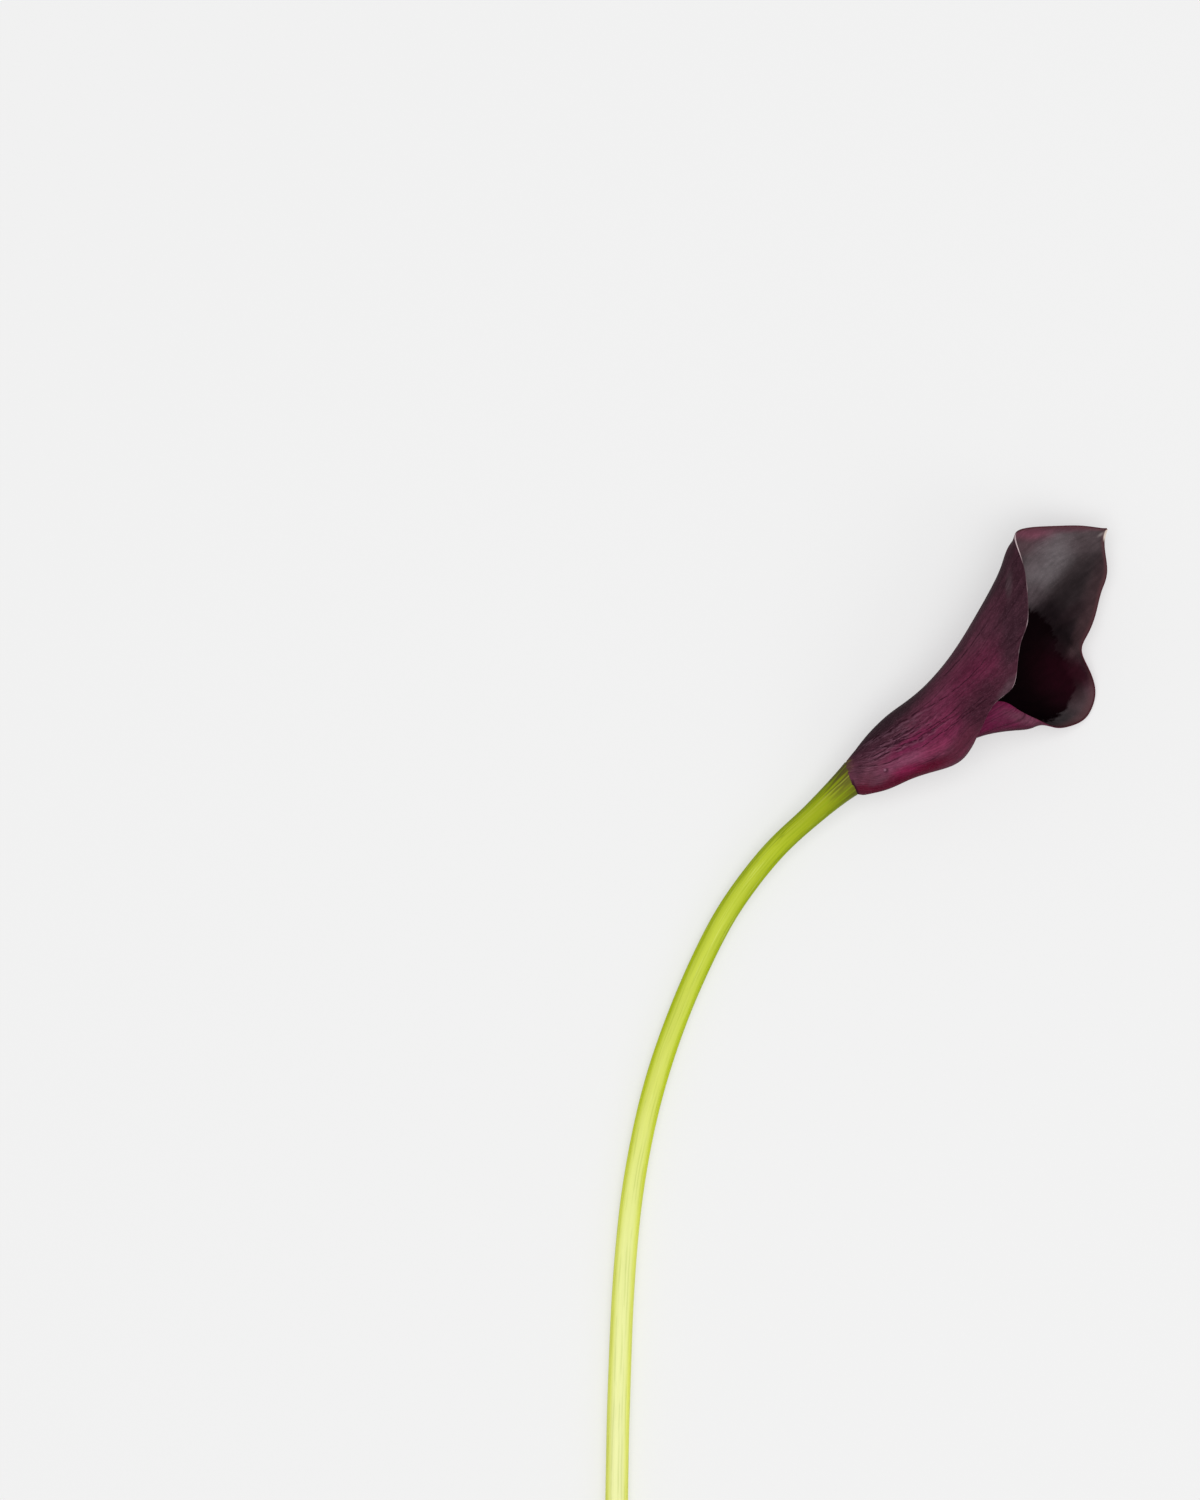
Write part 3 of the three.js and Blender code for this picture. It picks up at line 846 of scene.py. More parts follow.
def tint(amount, under, over, how="MIX"):
    """Lays one colour over another by an amount."""
    made = in_order("Mix", {"data_type": "RGBA", "blend_type": how}, (0, 6, 7), (amount, under, over))
    return Reading(made.outputs[2])


def coats(colour, *layers):
    """Lays (amount, colour) layers over a colour, first to last."""
    for amount, over in layers:
        colour = tint(amount, colour, over)
    return colour


def shade_by(colour, *factors):
    """Lightens or darkens a colour by each factor."""
    for factor in factors:
        grey = read_node("CombineColor", "Color", None, Red=factor, Green=factor, Blue=factor)
        colour = tint(1.0, colour, grey, "MULTIPLY")
    return colour


def read_mark(tree, name, output="Fac"):
    return Reading(add(tree, "Attribute", {"attribute_name": name}).outputs[output])


def split(vector):
    """The three numbers of a vector."""
    return [Reading(part) for part in add(tree_of([vector]), "SeparateXYZ", Vector=vector).outputs]


def merge(x, y, z=0.0):
    return read_node("CombineXYZ", "Vector", None, X=x, Y=y, Z=z)


def noise_at(place, detail, scale=1.0, output="Fac", **inputs):
    """Soft noise from 0 to 1 at a place."""
    return read_node("TexNoise", output, None, Vector=place, Scale=scale, Detail=detail, **inputs)


def noise_along(number, detail, scale=1.0):
    """Soft noise from 0 to 1 along a line."""
    return read_node("TexNoise", "Fac", {"noise_dimensions": "1D"}, W=number, Scale=scale, Detail=detail)


def effect(label, **inputs):
    """Makes a node group of a function: what it takes are the group's inputs, what it returns its outputs.
    An input is a vector where its default is one, otherwise a number. The name then places the group."""
    def build(formula):
        group = bpy.data.node_groups.new(label, "ShaderNodeTree")
        for name, default in inputs.items():
            kind = "NodeSocketVector" if isinstance(default, tuple) else "NodeSocketFloat"
            socket = group.interface.new_socket(name=name, in_out="INPUT", socket_type=kind)
            socket.default_value = default
        given = group.nodes.new("NodeGroupInput").outputs
        results = formula(**{name: Reading(given[name]) for name in inputs})
        for name in results:
            group.interface.new_socket(name=name, in_out="OUTPUT", socket_type="NodeSocketFloat")
        ends = group.nodes.new("NodeGroupOutput").inputs
        for name, value in results.items():
            feed(ends[name], value)

        def place(**values):
            made = tree_of(values.values()).nodes.new("ShaderNodeGroup")
            made.node_tree = group
            for name, value in values.items():
                feed(made.inputs[name], value)
            return {name: Reading(made.outputs[name]) for name in results}

        return place

    return build


# ---- Effects that more than one finish uses --------------------------------------------------------
ORIGIN = (0.0, 0.0, 0.0)
FIBRE_SIZE = (3.0, 1.0, 1.0)


@effect("oval patch", place=ORIGIN, centre=ORIGIN, half_size=(1.0, 1.0, 1.0), turn=0.0, edge=0.8, ragged=0.0)
def oval_patch(place, centre, half_size, turn, edge, ragged):
    """A soft or crisp oval, turned in the plane, with a rim that breaks up into fibres where it is ragged."""
    fibres = noise_at(vector_calc("DIVIDE", place, FIBRE_SIZE), 2.0, output="Color")
    shift = vector_calc("SUBTRACT", fibres, (0.5, 0.5, 0.5))
    moved = vector_calc("MULTIPLY_ADD", shift, ragged, place)
    away = vector_calc("MULTIPLY", vector_calc("SUBTRACT", moved, centre), (1.0, 1.0, 0.0))
    turned = read_node("VectorRotate", "Vector", {"rotation_type": "Z_AXIS"}, Vector=away, Angle=turn)
    distance = vector_calc("LENGTH", vector_calc("DIVIDE", turned, half_size))
    return {"mask": spread(distance, 1.0 + edge, 1.0 - edge)}


@effect("lengthwise veins", sheet=ORIGIN, spacing=3.0, wander=1.0, width=0.12, seed=0.0)
def lengthwise_veins(sheet, spacing, wander, width, seed):
    """Fine lines that run lengthwise, unevenly spaced, wandering and fading along their way."""
    along, across, _ = split(sheet)
    bend = noise_at(merge(along * 0.045, across * 0.16, seed), 1.0)
    line = (across + (bend - 0.5) * wander) / spacing + seed
    to_edge = {"voronoi_dimensions": "1D", "feature": "DISTANCE_TO_EDGE"}
    from_line = read_node("TexVoronoi", "Distance", to_edge, W=line, Scale=1.0, Randomness=0.85)
    patchy = noise_at(merge(along * 0.07, across * 0.5, seed + 5.0), 2.0)
    return {"vein": spread(from_line, width, 0.0) * spread(patchy, 0.38, 0.60)}


@effect("long vein", place=ORIGIN, start=10.0, end=50.0, across=0.0, slope=0.0, bend=0.0, half_width=0.1,
        waver=1.0)
def long_vein(place, start, end, across, slope, bend, half_width, waver):
    """One gently bent vein drawn along the bloom, seen from above, that thins out at both ends."""
    along, side, _ = split(place)
    run = along - start
    seed = across * 3.7 + along * 0.22
    line = (slope + bend * run) * run + across + (noise_along(seed, 2.0) - 0.5) * waver
    off_line = side - line
    off_crest = off_line - half_width * 2.4
    reach = half_width * 1.6
    faint = spread(noise_along(seed * 2.1, 1.0), 0.30, 0.50, 0.35, 1.0)
    strength = spread(run, 0.0, 5.0) * spread(end - along, 0.0, 8.0) * faint
    return {
        "vein": spread(abs(off_line), reach, 0.0) * strength,
        "crest": spread(abs(off_crest), reach, 0.0) * strength,
    }


@effect("drawn wrinkles", sheet=ORIGIN, length=9.0, width=0.8, seed=0.0)
def drawn_wrinkles(sheet, length, width, seed):
    """Wrinkles drawn out lengthwise: dark creases (painted shade), the pale crests beside them (a painted
    highlight), height and a soft tone.
    """
    along, across, _ = split(sheet)
    stretched = merge(along / length, across / width, seed)
    field = noise_at(stretched, 1.5, Distortion=0.12)
    here = spread(noise_at(stretched, 1.0, scale=0.45), 0.38, 0.60)
    from_crease = abs(field - 0.5)
    from_crest = abs(field - 0.575)
    return {
        "crease": here * spread(from_crease, 0.045, 0.0),
        "crest": here * spread(from_crest, 0.050, 0.0),
        "height": here * spread(from_crease, 0.0, 0.12),
        "tone": spread(field, 0.3, 0.7, -1.0, 1.0),
    }


@effect("skin cells", place=ORIGIN, cell=0.35, patchiness=4.0)
def skin_cells(place, cell, patchiness):
    """The fine cells of a petal's skin: light specks, a height for bump and slow clouds of tone."""
    cells = add(tree_of([place]), "TexVoronoi", None, Vector=place, Scale=1.0 / cell)
    from_middle = Reading(cells.outputs["Distance"])
    lucky = read_node("SeparateColor", "Red", None, Color=Reading(cells.outputs["Color"]))
    return {
        "speck": spread(from_middle, 0.5, 0.1) * spread(lucky, 0.45, 0.95),
        "height": 1.0 - from_middle,
        "cloud": noise_at(place, 3.0, scale=1.0 / patchiness, Roughness=0.6),
    }


def begin_finish(name):
    """A material with its Principled shader, ready for its colours."""
    material = bpy.data.materials.new(name)
    material.use_nodes = True
    tree = material.node_tree
    tree.nodes.clear()
    shader = add(tree, "BsdfPrincipled")
    tree.links.new(shader.outputs["BSDF"], add(tree, "OutputMaterial").inputs["Surface"])
    return material, tree, shader


def end_finish(shader, colour, roughness, gloss, height, bump, depth):
    """Gives a finish its colour, roughness and gloss, and a relief of a strength and a depth in metres."""
    feed(shader.inputs["Base Color"], colour)
    feed(shader.inputs["Roughness"], roughness)
    shader.inputs["Specular IOR Level"].default_value = gloss
    relief = read_node("Bump", "Normal", None, Height=height, Strength=bump, Distance=depth)
    feed(shader.inputs["Normal"], relief)


def seen(red, green, blue):
    """A colour given as it looks on a screen, 0 to 255, in the linear values that shaders want."""
    return tuple(((value / 255 + 0.055) / 1.055) ** 2.4 for value in (red, green, blue))


# A patch of colour on the bloom, seen from above: its middle, half its length and width, its colour on
# a screen, its turn towards +across, the softness and raggedness of its edge, and how much it covers.
Patch = collections.namedtuple(
    "Patch", "along across half_along half_across colour turn edge ragged amount", defaults=(0, 0.8, 1.5, 1),
)


def patch_mask(place, patch):
    """How strongly a patch covers each place of the bloom."""
    return oval_patch(
        place=place, centre=(patch.along, patch.across, 0.0),
        half_size=(patch.half_along, patch.half_across, 1.0), turn=-math.radians(patch.turn),
        edge=patch.edge, ragged=patch.ragged,
    )["mask"]


def lay_patches(colour, place, patches):
    """Lays colour patches over a colour, first to last."""
    layers = [(patch_mask(place, patch) * patch.amount, seen(*patch.colour)) for patch in patches]
    return coats(colour, *layers)


# ---- Spathe's finishes ----------------------------------------------------------------------------
MAROON = seen(87, 44, 60)
OUTSIDE_PATCHES = [
    # rosy middle, then greyer and darker towards the upper end
    Patch(50, 4.5, 18, 5.5, (86, 32, 54), edge=0.7, ragged=2, amount=0.9),
    Patch(79, -5, 19, 9, (57, 33, 42), turn=-36, edge=0.5, ragged=3),
    Patch(66, 5.5, 10, 3, (55, 32, 41), turn=-36, edge=0.7, ragged=2, amount=0.9),
    Patch(66, -5, 9, 2.2, (80, 43, 57), turn=-14, ragged=2, amount=0.8),
    # greyish pink round the foot, its own tone lightened by a painted sheen, greyer where it wrinkles
    Patch(6, 3, 8, 5.8, (98, 56, 71), turn=34, edge=0.6, ragged=2, amount=0.95),
    Patch(17, 0.6, 10, 2.8, (82, 46, 60), turn=15, edge=0.7, ragged=2.5, amount=0.8),
    Patch(1.5, 4.5, 3, 2.5, (84, 38, 52), ragged=1, amount=0.7),
    Patch(26, 0.8, 12, 2.2, (100, 56, 72), ragged=2, amount=0.8),
    # magenta along the middle, strongest low down
    Patch(24, 8, 13, 4.6, (106, 36, 67), turn=15, edge=0.6, ragged=2.5),
    Patch(17, 8.8, 8, 2, (122, 64, 88), turn=20, edge=0.7, amount=0.9),
    Patch(25, 12, 6, 2.2, (120, 48, 76), turn=8, amount=0.8),
    Patch(34, 2.5, 8, 3, (100, 42, 66), turn=5, ragged=2, amount=0.8),
    Patch(33, 9, 6, 4, (106, 38, 66), ragged=2, amount=0.7),
    # crimson along the lower edge
    Patch(15, 13.2, 14, 2, (86, 11, 37), turn=22, edge=0.6, ragged=1),
    Patch(3.5, 8.8, 5.5, 1.1, (86, 14, 38), turn=38, edge=0.6, ragged=0.8),
    Patch(14, 10.4, 4.5, 1.5, (116, 26, 62), turn=24, ragged=1, amount=0.8),
    Patch(-0.5, 5.2, 3.2, 1.8, (86, 24, 42), turn=40, edge=0.5, ragged=0.8),
    Patch(34, 17, 7, 2.6, (92, 38, 56), turn=-4, edge=0.7, amount=0.9),
    # greyer purple towards the front margin, palest at its lowest point
    Patch(47, 13, 10, 5.2, (61, 29, 41), turn=-3, edge=0.7, ragged=2),
    Patch(55, 14.8, 5, 1.5, (80, 58, 66), turn=-10, amount=0.9),
    # nearly black along the upper left: the dark maroon deepened by painted shade where the flank turns away
    # from the light
    Patch(14, -2.8, 14, 2.6, (50, 30, 38), turn=14, edge=0.7, ragged=2.5, amount=0.55),
    Patch(21, -5.2, 17, 2.9, (47, 31, 37), turn=6, edge=0.6),
    Patch(40, -5.6, 12, 1.8, (50, 33, 39), turn=-1, ragged=1, amount=0.9),
    Patch(72, -11, 22, 1.5, (48, 28, 36), turn=-18, ragged=0.8, amount=0.8),
    Patch(5, -0.9, 3.4, 1.5, (66, 36, 47), turn=-20, edge=0.9, amount=0.7),
    # a dull streak where the upper flank catches the light
    Patch(78.8, -8.5, 3.6, 0.9, (80, 62, 68), turn=-42, ragged=1, amount=0.8),
    # the blister's shadow and its shine
    Patch(9.4, 5.9, 0.8, 0.75, (52, 22, 34), edge=0.5, ragged=0.2, amount=0.7),
    Patch(9.2, 5.6, 0.4, 0.38, (142, 98, 118), edge=0.6, ragged=0.1, amount=0.7),
]
LOBE_MAGENTA = seen(94, 22, 56)
LOBE_PATCHES = [
    # the outside of the far lobe: clear magenta, with a painted highlight where it turns over and painted
    # shade where it dips under the near lobe
    Patch(48, 20, 5, 3, (108, 48, 74), turn=60, ragged=2, amount=0.45),
    Patch(52.5, 26, 1.8, 6, (106, 64, 80), turn=-26, ragged=2, amount=0.7),
    Patch(45, 24.5, 12, 1.3, (62, 18, 36), turn=37, edge=0.7, ragged=0.8, amount=0.9),
]
# where the foot's upper side wrinkles; only its mask is used, so it has no colour
WRINKLED = Patch(16, 0.3, 16, 4.8, None, turn=14, edge=0.45, ragged=4)
LONG_VEINS = [
    # start and end along the bloom, across at the start, slope there, bend, half width
    (13, 46, -0.9, 0.62, -0.0113, 0.20),
    (29, 62, -0.3, 0.37, -0.0090, 0.17),
    (19, 54, 7.9, 0.20, -0.0017, 0.17),
    (24, 44, 5.6, 0.33, -0.0060, 0.14),
    (40, 70, -2.6, 0.06, -0.0060, 0.15),
    (33, 56, 9.9, 0.10, -0.0020, 0.14),
]
FOOT_CREASES = [
    # the same, for the creases that fan out of the foot towards the upper side
    (9, 34, -5.73, 1.288, -0.0318, 0.30),
    (7, 33, -4.27, 0.695, -0.0153, 0.26),
    (5, 38, -0.95, 0.430, -0.0042, 0.25),
    (3, 19, -2.54, 1.175, -0.0394, 0.21),
    (11, 37, -4.48, 0.255, -0.0013, 0.35),
    (6, 19, -2.48, 0.644, -0.0203, 0.25),
    (4.5, 13, -3.88, 1.204, -0.0417, 0.21),
    (10, 31, -3.0, 0.500, -0.0090, 0.25),
]
VEIN_WAVER = 0.8
CREASE_WAVER = 1.6
OUTSIDE_GLOSS = 0.008
INSIDE_GLOSS = 0.01
# dark for veins and lines, also painted shade in creases; a pale painted highlight for the crests beside them
DARK_LINES_AND_CREASE_SHADE = seen(38, 12, 24)
CREST_HIGHLIGHT = seen(138, 98, 116)
SPECK_PALE = seen(132, 92, 108)
FOOT_GREEN = seen(112, 104, 44)
MARGIN_EDGE_HIGHLIGHT = seen(206, 184, 188)
MARGIN_PINK = seen(94, 60, 64)
MARGIN_RED = seen(66, 24, 32)
TIP_CREAM = seen(228, 212, 200)


def sheet_marks(tree):
    """Place in the bloom, place on the sheet, distance from a margin and share of the girth."""
    return (
        read_mark(tree, "place", "Vector"), read_mark(tree, "sheet", "Vector"),
        read_mark(tree, "from_margin"), read_mark(tree, "share"),
    )


def margin_edge_highlight(station, margin, share):
    """Painted highlight on the front margin's rounded edge: a thin pale line, brightest at its upper end,
    broken lower down.
    """
    line = spread(margin, 0.28, 0.08) * spread(share, 0.5, 0.45) * spread(station, 93.5, 91.5)
    broken = spread(noise_along(station, 2.0, scale=0.13), 0.46, 0.66, 0.05, 0.5)
    strength = strongest([spread(station, 87.0, 90.0), broken * spread(station, 30.0, 40.0)])
    return line * strength, MARGIN_EDGE_HIGHLIGHT


def cream_tip(along, margin, share):
    """The pale cream edge that runs down the right-hand margin from the tip."""
    return spread(margin, 0.9, 0.3) * spread(share, 0.5, 0.55) * spread(along, 110.4, 112.0) * 0.9, TIP_CREAM


def draw_veins(place, rows, waver):
    """The long veins of a table, each with the crest beside it."""
    return [
        long_vein(place=place, start=start, end=end, across=across, slope=slope, bend=bend,
                  half_width=half_width, waver=waver)
        for start, end, across, slope, bend, half_width in rows
    ]


def spathe_outside():
    """Outer skin: dark maroon with a magenta flush, a few dark veins, and wrinkles near the foot, with
    painted shade and highlights on its creases, upper flank and far lobe.
    """
    material, tree, shader = begin_finish("spathe outside, maroon")
    place, sheet, margin, share = sheet_marks(tree)
    station, _, turn = split(sheet)
    along, across, _ = split(place)
    cells = skin_cells(place=place, cell=0.34, patchiness=4.0)
    veins = lengthwise_veins(sheet=sheet, spacing=4.6, wander=5.0, width=0.05, seed=2.0)["vein"]
    hairlines = lengthwise_veins(sheet=sheet, spacing=1.0, wander=3.0, width=0.22, seed=9.0)["vein"]
    wrinkles = drawn_wrinkles(sheet=sheet, length=7.0, width=1.3, seed=4.0)
    fine = drawn_wrinkles(sheet=sheet, length=4.0, width=0.7, seed=14.0)
    streaks = drawn_wrinkles(sheet=sheet, length=20.0, width=1.0, seed=51.0)["tone"]
    grain = drawn_wrinkles(sheet=sheet, length=1.6, width=0.45, seed=61.0)["tone"]

    lobe = lay_patches(LOBE_MAGENTA, place, LOBE_PATCHES)
    colour = tint(spread(turn, 0.60, 0.75), lay_patches(MAROON, place, OUTSIDE_PATCHES), lobe)
    clouds = spread(cells["cloud"], 0.3, 0.7, 0.88, 1.12)
    colour = shade_by(colour, clouds, 1.0 + streaks * 0.13, 1.0 + grain * 0.16)

    # scattered veins, the clearest veins, and the foot's creases in painted shade, with a painted highlight
    # on the pale crest beside each
    creases = draw_veins(place, FOOT_CREASES, CREASE_WAVER)
    clear_lines = strongest([line["vein"] for line in draw_veins(place, LONG_VEINS, VEIN_WAVER) + creases])
    lines = strongest([veins * spread(station, 9.0, 18.0) * 0.55, clear_lines * 0.85])
    crest_highlights = strongest([crease["crest"] for crease in creases])
    # wrinkles, with painted shade in their creases and a painted highlight on their crests, are strong on the
    # upper side of the foot and faint elsewhere
    wrinkled = 0.14 + patch_mask(place, WRINKLED) * 0.86
    # the foot has a dark edge on its lower side, and green streaks that climb its upper side
    foot_edge = spread(station, 0.5, 0.1) * spread(across, -0.5, 1.5)
    green = spread(station, 4.2, 0.0) * spread(across, -1.2, -4.2) * spread(wrinkles["height"], -0.3, 0.8)
    colour = coats(
        colour,
        (crest_highlights * 0.26, CREST_HIGHLIGHT),
        (lines, DARK_LINES_AND_CREASE_SHADE),
        (hairlines * 0.24, DARK_LINES_AND_CREASE_SHADE),
        (fine["crease"] * wrinkled * 0.66, DARK_LINES_AND_CREASE_SHADE),
        (wrinkles["crease"] * wrinkled * 0.85, DARK_LINES_AND_CREASE_SHADE),
        (fine["crest"] * wrinkled * 0.20, CREST_HIGHLIGHT),
        (wrinkles["crest"] * wrinkled * 0.24, CREST_HIGHLIGHT),
        (cells["speck"] * 0.26, SPECK_PALE),
        (foot_edge * 0.7, DARK_LINES_AND_CREASE_SHADE),
        (green, FOOT_GREEN),
        margin_edge_highlight(station, margin, share),
        cream_tip(along, margin, share),
    )
    height = (wrinkles["height"] * 0.8 + fine["height"] * 0.3) * wrinkled
    height = height + cells["height"] * 0.22 - lines * 0.6
    roughness = spread(cells["cloud"], 0.25, 0.75, 0.42, 0.56)
    end_finish(shader, colour, roughness, OUTSIDE_GLOSS, height, bump=0.6, depth=0.00014)
    return material


CHARCOAL = seen(53, 45, 47)
INSIDE_PATCHES = [
    # painted velvet sheen: the light grey sweep down the flare, pinker and duller towards its top edge and
    # its tip
    Patch(98, -11, 12, 4.5, (96, 76, 83), turn=38),
    Patch(91, -4.2, 16, 5, (108, 100, 103), turn=-4, edge=0.7),
    Patch(91.5, -14, 3, 3.5, (100, 78, 84), ragged=1, amount=0.9),
    Patch(108.5, -1.2, 6.5, 5, (79, 68, 71), turn=24),
    # painted shade in a dark lane beside it, then brownish grey
    Patch(87, 7.2, 14, 3.6, (41, 34, 36)),
    Patch(96, 14, 15, 3, (62, 46, 49), turn=-24, amount=0.9),
    Patch(82, 11.5, 4.6, 9, (27, 19, 22), edge=0.7, ragged=2, amount=0.9),
    Patch(83, -0.5, 4, 3.5, (84, 72, 76), amount=0.7),
    Patch(90, -8, 6, 3, (106, 94, 98), amount=0.6),
    Patch(88, 12.8, 5, 2.2, (38, 27, 30), amount=0.8),
    Patch(87, 18.5, 8, 2, (66, 48, 51), turn=-22, amount=0.8),
    # painted sheen where the notch and the far lobe's turned-out lip face the light
    Patch(79.3, 24, 2.8, 3.2, (100, 78, 82), edge=0.7, ragged=1),
    Patch(63, 36, 12, 4.2, (63, 57, 59), turn=6, edge=0.5, ragged=1),
    Patch(70, 36, 5, 4.2, (85, 69, 73), turn=-35, ragged=1, amount=0.9),
    Patch(76, 33, 2.2, 5, (114, 84, 94), turn=30, ragged=1, amount=0.9),
    Patch(77, 28, 2, 4.5, (94, 58, 70), turn=8, edge=0.7, ragged=1, amount=0.9),
    # pink along the top edge
    Patch(96.5, -15.5, 6.5, 2.7, (122, 71, 87), turn=40, edge=0.7, ragged=0.8, amount=0.95),
    Patch(106, -7.5, 9, 1.4, (94, 60, 70), turn=42, ragged=0.6, amount=0.9),
    # a white gleam just inside the tip
    Patch(111.9, 1.4, 1.2, 0.4, (160, 150, 148), turn=12, ragged=0.5, amount=0.4),
]
THROAT_BLACK = (13, 2, 6)
THROAT_PATCHES = [
    # the throat's black, in two ovals that end in lengthwise fibres
    Patch(55, 8, 25.3, 16, THROAT_BLACK, edge=0.035, ragged=4.6),
    Patch(62.9, 20, 12.6, 13.2, THROAT_BLACK, edge=0.06, ragged=3.6),
    # its soft border, and a deep red glow on the lobe's side
    Patch(76.5, 16.5, 3, 3.5, (24, 12, 16), amount=0.7),
    Patch(71, 25, 7, 9, (31, 5, 14)),
    Patch(75.5, 28, 2.2, 5, (48, 16, 26), amount=0.8),
]


def spathe_inside():
    """Inner skin: a near-black throat that turns to charcoal velvet on the flare and the lip, with a painted
    velvet sheen on both and painted shade in a lane beside it.
    """
    material, tree, shader = begin_finish("spathe inside, black velvet")
    place, sheet, margin, share = sheet_marks(tree)
    cells = skin_cells(place=place, cell=0.36, patchiness=3.0)
    veins = lengthwise_veins(sheet=sheet, spacing=3.6, wander=4.0, width=0.16, seed=21.0)["vein"]
    wrinkles = drawn_wrinkles(sheet=sheet, length=11.0, width=1.2, seed=33.0)
    fibres = drawn_wrinkles(sheet=sheet, length=6.0, width=0.5, seed=71.0)["tone"]

    colour = shade_by(
        lay_patches(CHARCOAL, place, INSIDE_PATCHES + THROAT_PATCHES),
        spread(cells["cloud"], 0.28, 0.72, 0.88, 1.13),
        spread(cells["speck"], 0.0, 1.0, 0.97, 1.35),
        1.0 + wrinkles["tone"] * 0.05,
        1.0 + fibres * 0.06,
        spread(veins, 0.0, 1.0, 1.0, 0.84),
    )
    # the margin: a brownish pink rim with a thin dark red line, cream at the tip
    colour = coats(
        colour,
        (spread(margin, 2.2, 0.4) * 0.55, MARGIN_PINK),
        (spread(margin, 0.5, 0.1) * 0.75, MARGIN_RED),
        cream_tip(split(place)[0], margin, share),
        margin_edge_highlight(split(sheet)[0], margin, share),
    )
    height = (cells["height"] + wrinkles["height"]) * 0.3
    roughness = spread(cells["cloud"], 0.25, 0.75, 0.58, 0.72)
    end_finish(shader, colour, roughness, INSIDE_GLOSS, height, bump=0.45, depth=0.0001)
    return material


# ---- Stem's and spadix's finishes -----------------------------------------------------------------
# The stem's colours by distance from the bloom: where it faces up, lighter as a painted highlight, and on its
# flanks
STEM_LIT_TOP_COLOURS = [
    (0, seen(112, 114, 32)), (6, seen(132, 142, 28)), (11, seen(150, 162, 30)), (33, seen(176, 191, 44)),
    (79, seen(196, 208, 74)), (120, seen(212, 219, 104)), (172, seen(229, 234, 150)),
    (230, seen(235, 238, 168)),
]
STEM_FLANK_COLOURS = [
    (0, seen(88, 92, 14)), (9, seen(120, 134, 10)), (33, seen(150, 168, 10)), (79, seen(170, 188, 18)),
    (120, seen(190, 204, 30)), (146, seen(210, 220, 66)), (172, seen(221, 228, 98)),
    (230, seen(222, 228, 104)),
]
STEM_GLOSS = 0.03
STEM_GROOVE = seen(140, 165, 24)
STEM_THREAD = seen(226, 232, 140)
STEM_BROWN = seen(74, 62, 36)
STEM_DEEP = seen(98, 118, 12)
STEM_PALE = seen(196, 203, 92)
PITH = seen(212, 217, 162)
PITH_STRAND = seen(162, 176, 90)
PITH_RIM = seen(162, 181, 62)
LONGEST_STEM = 300.0


def colours_along(distance, stops):
    """A colour that changes with the distance, through the given (distance, colour) stops."""
    ramp = add(tree_of([distance]), "ValToRGB", None, Fac=distance / LONGEST_STEM)
    elements = ramp.color_ramp.elements
    for _ in range(len(stops) - 2):
        elements.new(0.5)
    for element, (at, colour) in zip(elements, stops):
        element.position = at / LONGEST_STEM
        element.color = (*colour, 1.0)
    return Reading(ramp.outputs["Color"])


def cut_pith(stalk, right, up):
    """The cut face: pale pith with darker strands and a green rim."""
    strands = read_node("TexVoronoi", "Distance", None, Vector=stalk, Scale=1.35, Randomness=0.8)
    from_middle = vector_calc("LENGTH", merge(right, up))
    rim = spread(from_middle, STEM_RADIUS * 0.82, STEM_RADIUS * 0.97)
    return coats(PITH, (spread(strands, 0.34, 0.16) * 0.45, PITH_STRAND), (rim, PITH_RIM))


def stem_skin():
    """Bright yellow-green, paler and creamier low down, olive with brown streaks under the bloom."""
    material, tree, shader = begin_finish("stem skin, yellow-green")
    stalk = read_mark(tree, "stalk", "Vector")
    cut = read_mark(tree, "cut")
    distance, right, up = split(stalk)
    # the seam of the angle round the stem faces the floor
    skin = merge(distance, calc("ARCTAN2", right, up) * STEM_RADIUS)
    cells = skin_cells(place=stalk, cell=0.5, patchiness=9.0)
    ribs = lengthwise_veins(sheet=skin, spacing=1.5, wander=1.2, width=0.26, seed=3.0)["vein"]
    threads = drawn_wrinkles(sheet=skin, length=28.0, width=0.55, seed=6.0)
    blotches = drawn_wrinkles(sheet=skin, length=40.0, width=3.0, seed=16.0)["tone"]
    strands = drawn_wrinkles(sheet=skin, length=24.0, width=1.1, seed=36.0)
    brown = drawn_wrinkles(sheet=skin, length=10.0, width=0.5, seed=26.0)["tone"]

    # painted highlight: the top of the stem, which faces the light, takes the lighter colours
    lit_top = spread(up, 1.9, STEM_RADIUS)
    colour = coats(
        colours_along(distance, STEM_FLANK_COLOURS),
        (lit_top, colours_along(distance, STEM_LIT_TOP_COLOURS)),
        (ribs * spread(distance, 60.0, 10.0, 0.25, 0.55), STEM_GROOVE),
        (threads["crest"] * spread(distance, 10.0, 40.0) * 0.22, STEM_THREAD),
    )
    colour = shade_by(colour, 1.0 + blotches * 0.035)
    # darker and paler strands, clearest in the stretch below the bloom
    upper_stretch = spread(distance, 60.0, 12.0, 0.12, 1.0)
    # brown and dull purple streaks just under the bloom, most on its upper left side
    left = spread(right, 2.4, -2.2, 0.22, 1.0)
    streaks = spread(brown + spread(distance, 11.0, 0.0), 0.0, 0.8)
    colour = coats(
        colour,
        (strands["crease"] * upper_stretch * 0.60, STEM_DEEP),
        (strands["crest"] * upper_stretch * 0.30, STEM_PALE),
        (spread(distance, 17.0, 0.5) * left * streaks * 0.8, STEM_BROWN),
        (cut, cut_pith(stalk, right, up)),
    )
    # the skin's threads stop at the cut
    height = (threads["height"] * 0.6 - ribs * 0.7) * spread(cut, 0.6, 0.4) + cells["height"] * 0.12
    roughness = spread(cells["cloud"], 0.25, 0.75, 0.36, 0.50)
    end_finish(shader, colour, roughness, STEM_GLOSS, height, bump=0.5, depth=0.0001)
    return material


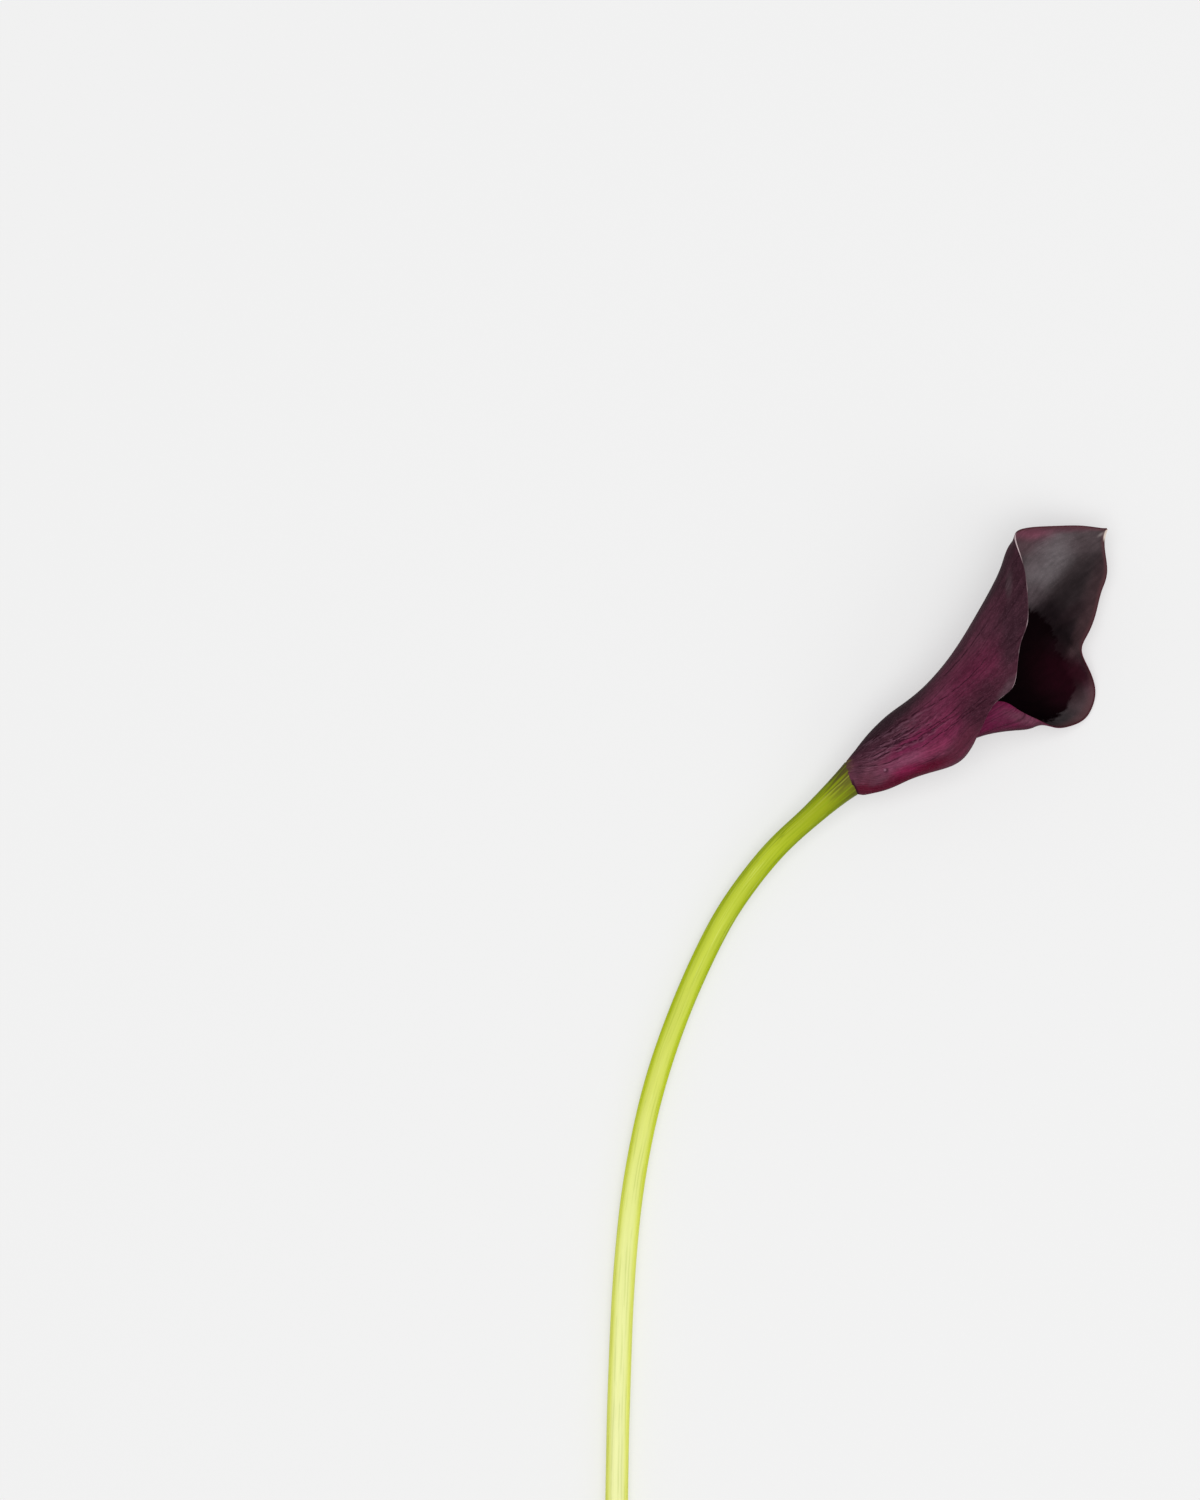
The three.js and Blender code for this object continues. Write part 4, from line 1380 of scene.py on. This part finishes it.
# painted shade: darkest in the hollows between the florets
SHADE_BETWEEN_FLORETS = (0.010, 0.002, 0.004)
FLORET_MAROON = (0.075, 0.016, 0.026)
FLORET_DARK = (0.045, 0.008, 0.018)
POLLEN = (0.52, 0.42, 0.26)
FLORET_GLOSS = 0.3


def spadix_skin():
    """Dark maroon florets, dusted with pale pollen on their tops, with painted shade between them."""
    material, tree, shader = begin_finish("spadix florets, maroon")
    dome = read_mark(tree, "floret")
    cells = skin_cells(place=read_mark(tree, "place", "Vector"), cell=0.16, patchiness=2.0)
    colour = coats(
        SHADE_BETWEEN_FLORETS,
        (dome, FLORET_MAROON),
        (read_mark(tree, "which") * 0.35, FLORET_DARK),
        (cells["speck"] * spread(dome, 0.45, 0.95) * 0.5, POLLEN),
    )
    roughness = spread(cells["cloud"], 0.3, 0.7, 0.6, 0.8)
    end_finish(shader, colour, roughness, FLORET_GLOSS, cells["height"], bump=0.5, depth=0.00008)
    return material


# ---- Stage ----------------------------------------------------------------------------------------
def floor_board():
    """Matt pale board with the faintest tooth, softly lit from behind."""
    material, tree, shader = begin_finish("pale matt board")
    where = Reading(add(tree, "TexCoord").outputs["Object"])
    tooth = noise_at(where, 2.0, scale=900.0)
    colour = tint(spread(tooth, 0.3, 0.7, 0.0, 0.02), FLOOR_WHITE, FLOOR_TOOTH)
    shader.inputs["Emission Color"].default_value = (1.0, 1.0, 1.0, 1.0)
    shader.inputs["Emission Strength"].default_value = FLOOR_GLOW
    end_finish(shader, colour, 0.9, 0.1, tooth, bump=0.1, depth=0.0001)
    return material


def floor():
    """A wide pale floor with a gentle grid of faces, just under the flower."""
    line = np.linspace(-FLOOR_HALF, FLOOR_HALF, FLOOR_STEPS + 1)
    points = [(x, y, 0.0) for y in line for x in line]
    corners = [row * len(line) + column for row in range(FLOOR_STEPS) for column in range(FLOOR_STEPS)]
    faces = [(a, a + 1, a + len(line) + 1, a + len(line)) for a in corners]
    mesh = bpy.data.meshes.new("floor_board")
    mesh.from_pydata(points, [], faces)
    mesh.materials.append(floor_board())
    made = bpy.data.objects.new("floor_board", mesh)
    bpy.context.scene.collection.objects.link(made)


def soft_light(name, place, aim, size, power):
    """A square soft box that looks at a point."""
    light = bpy.data.lights.new(name, "AREA")
    light.shape = "SQUARE"
    light.size = size
    light.energy = power
    made = bpy.data.objects.new(name, light)
    made.location = place
    away = unit(np.array(place) - np.array(aim))
    made.rotation_euler = (math.acos(away[2]), 0.0, math.atan2(away[1], away[0]) + math.pi / 2)
    bpy.context.scene.collection.objects.link(made)


def studio():
    """Even pale surroundings, a large soft box overhead and a weaker one from the lower right."""
    world = bpy.data.worlds.new("pale studio")
    bpy.context.scene.world = world
    world.use_nodes = True
    tree = world.node_tree
    tree.nodes.clear()
    choose = add(tree, "MixShader")
    tree.links.new(add(tree, "LightPath").outputs["Is Camera Ray"], choose.inputs[0])
    for socket, strength in zip(choose.inputs[1:], (SURROUNDINGS, BACKDROP)):
        light = add(tree, "Background", None, Color=(1.0, 1.0, 1.0), Strength=strength)
        tree.links.new(light.outputs[0], socket)
    tree.links.new(choose.outputs[0], add(tree, "OutputWorld").inputs["Surface"])
    soft_light("overhead soft box", place=(0.05, 0.0, 3.2), aim=(0.0, 0.1, 0.0), size=3.0, power=82.0)
    soft_light("side soft box", place=(1.9, -1.2, 1.8), aim=(0.0, 0.1, 0.0), size=1.4, power=6.0)


def camera():
    """Straight above the middle of the photo's view."""
    data = bpy.data.cameras.new("photo camera")
    data.sensor_fit = "AUTO"
    data.sensor_width = SENSOR
    data.lens = SENSOR * CAMERA_RANGE / VIEW_LENGTH
    data.clip_start = 0.05
    data.clip_end = 60.0
    made = bpy.data.objects.new("photo camera", data)
    made.location = (*CAMERA_OVER, CAMERA_RANGE + MID_HEIGHT)
    bpy.context.scene.collection.objects.link(made)
    bpy.context.scene.camera = made


# ---- The dressed flower ---------------------------------------------------------------------------
camera()
studio()
floor()
bpy.context.scene.view_settings.view_transform = "Standard"

for build, node in ((spathe, "spathe"), (stem, "stem"), (spadix, "spadix")):
    piece = build()
    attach(piece, "root")
    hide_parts(node)
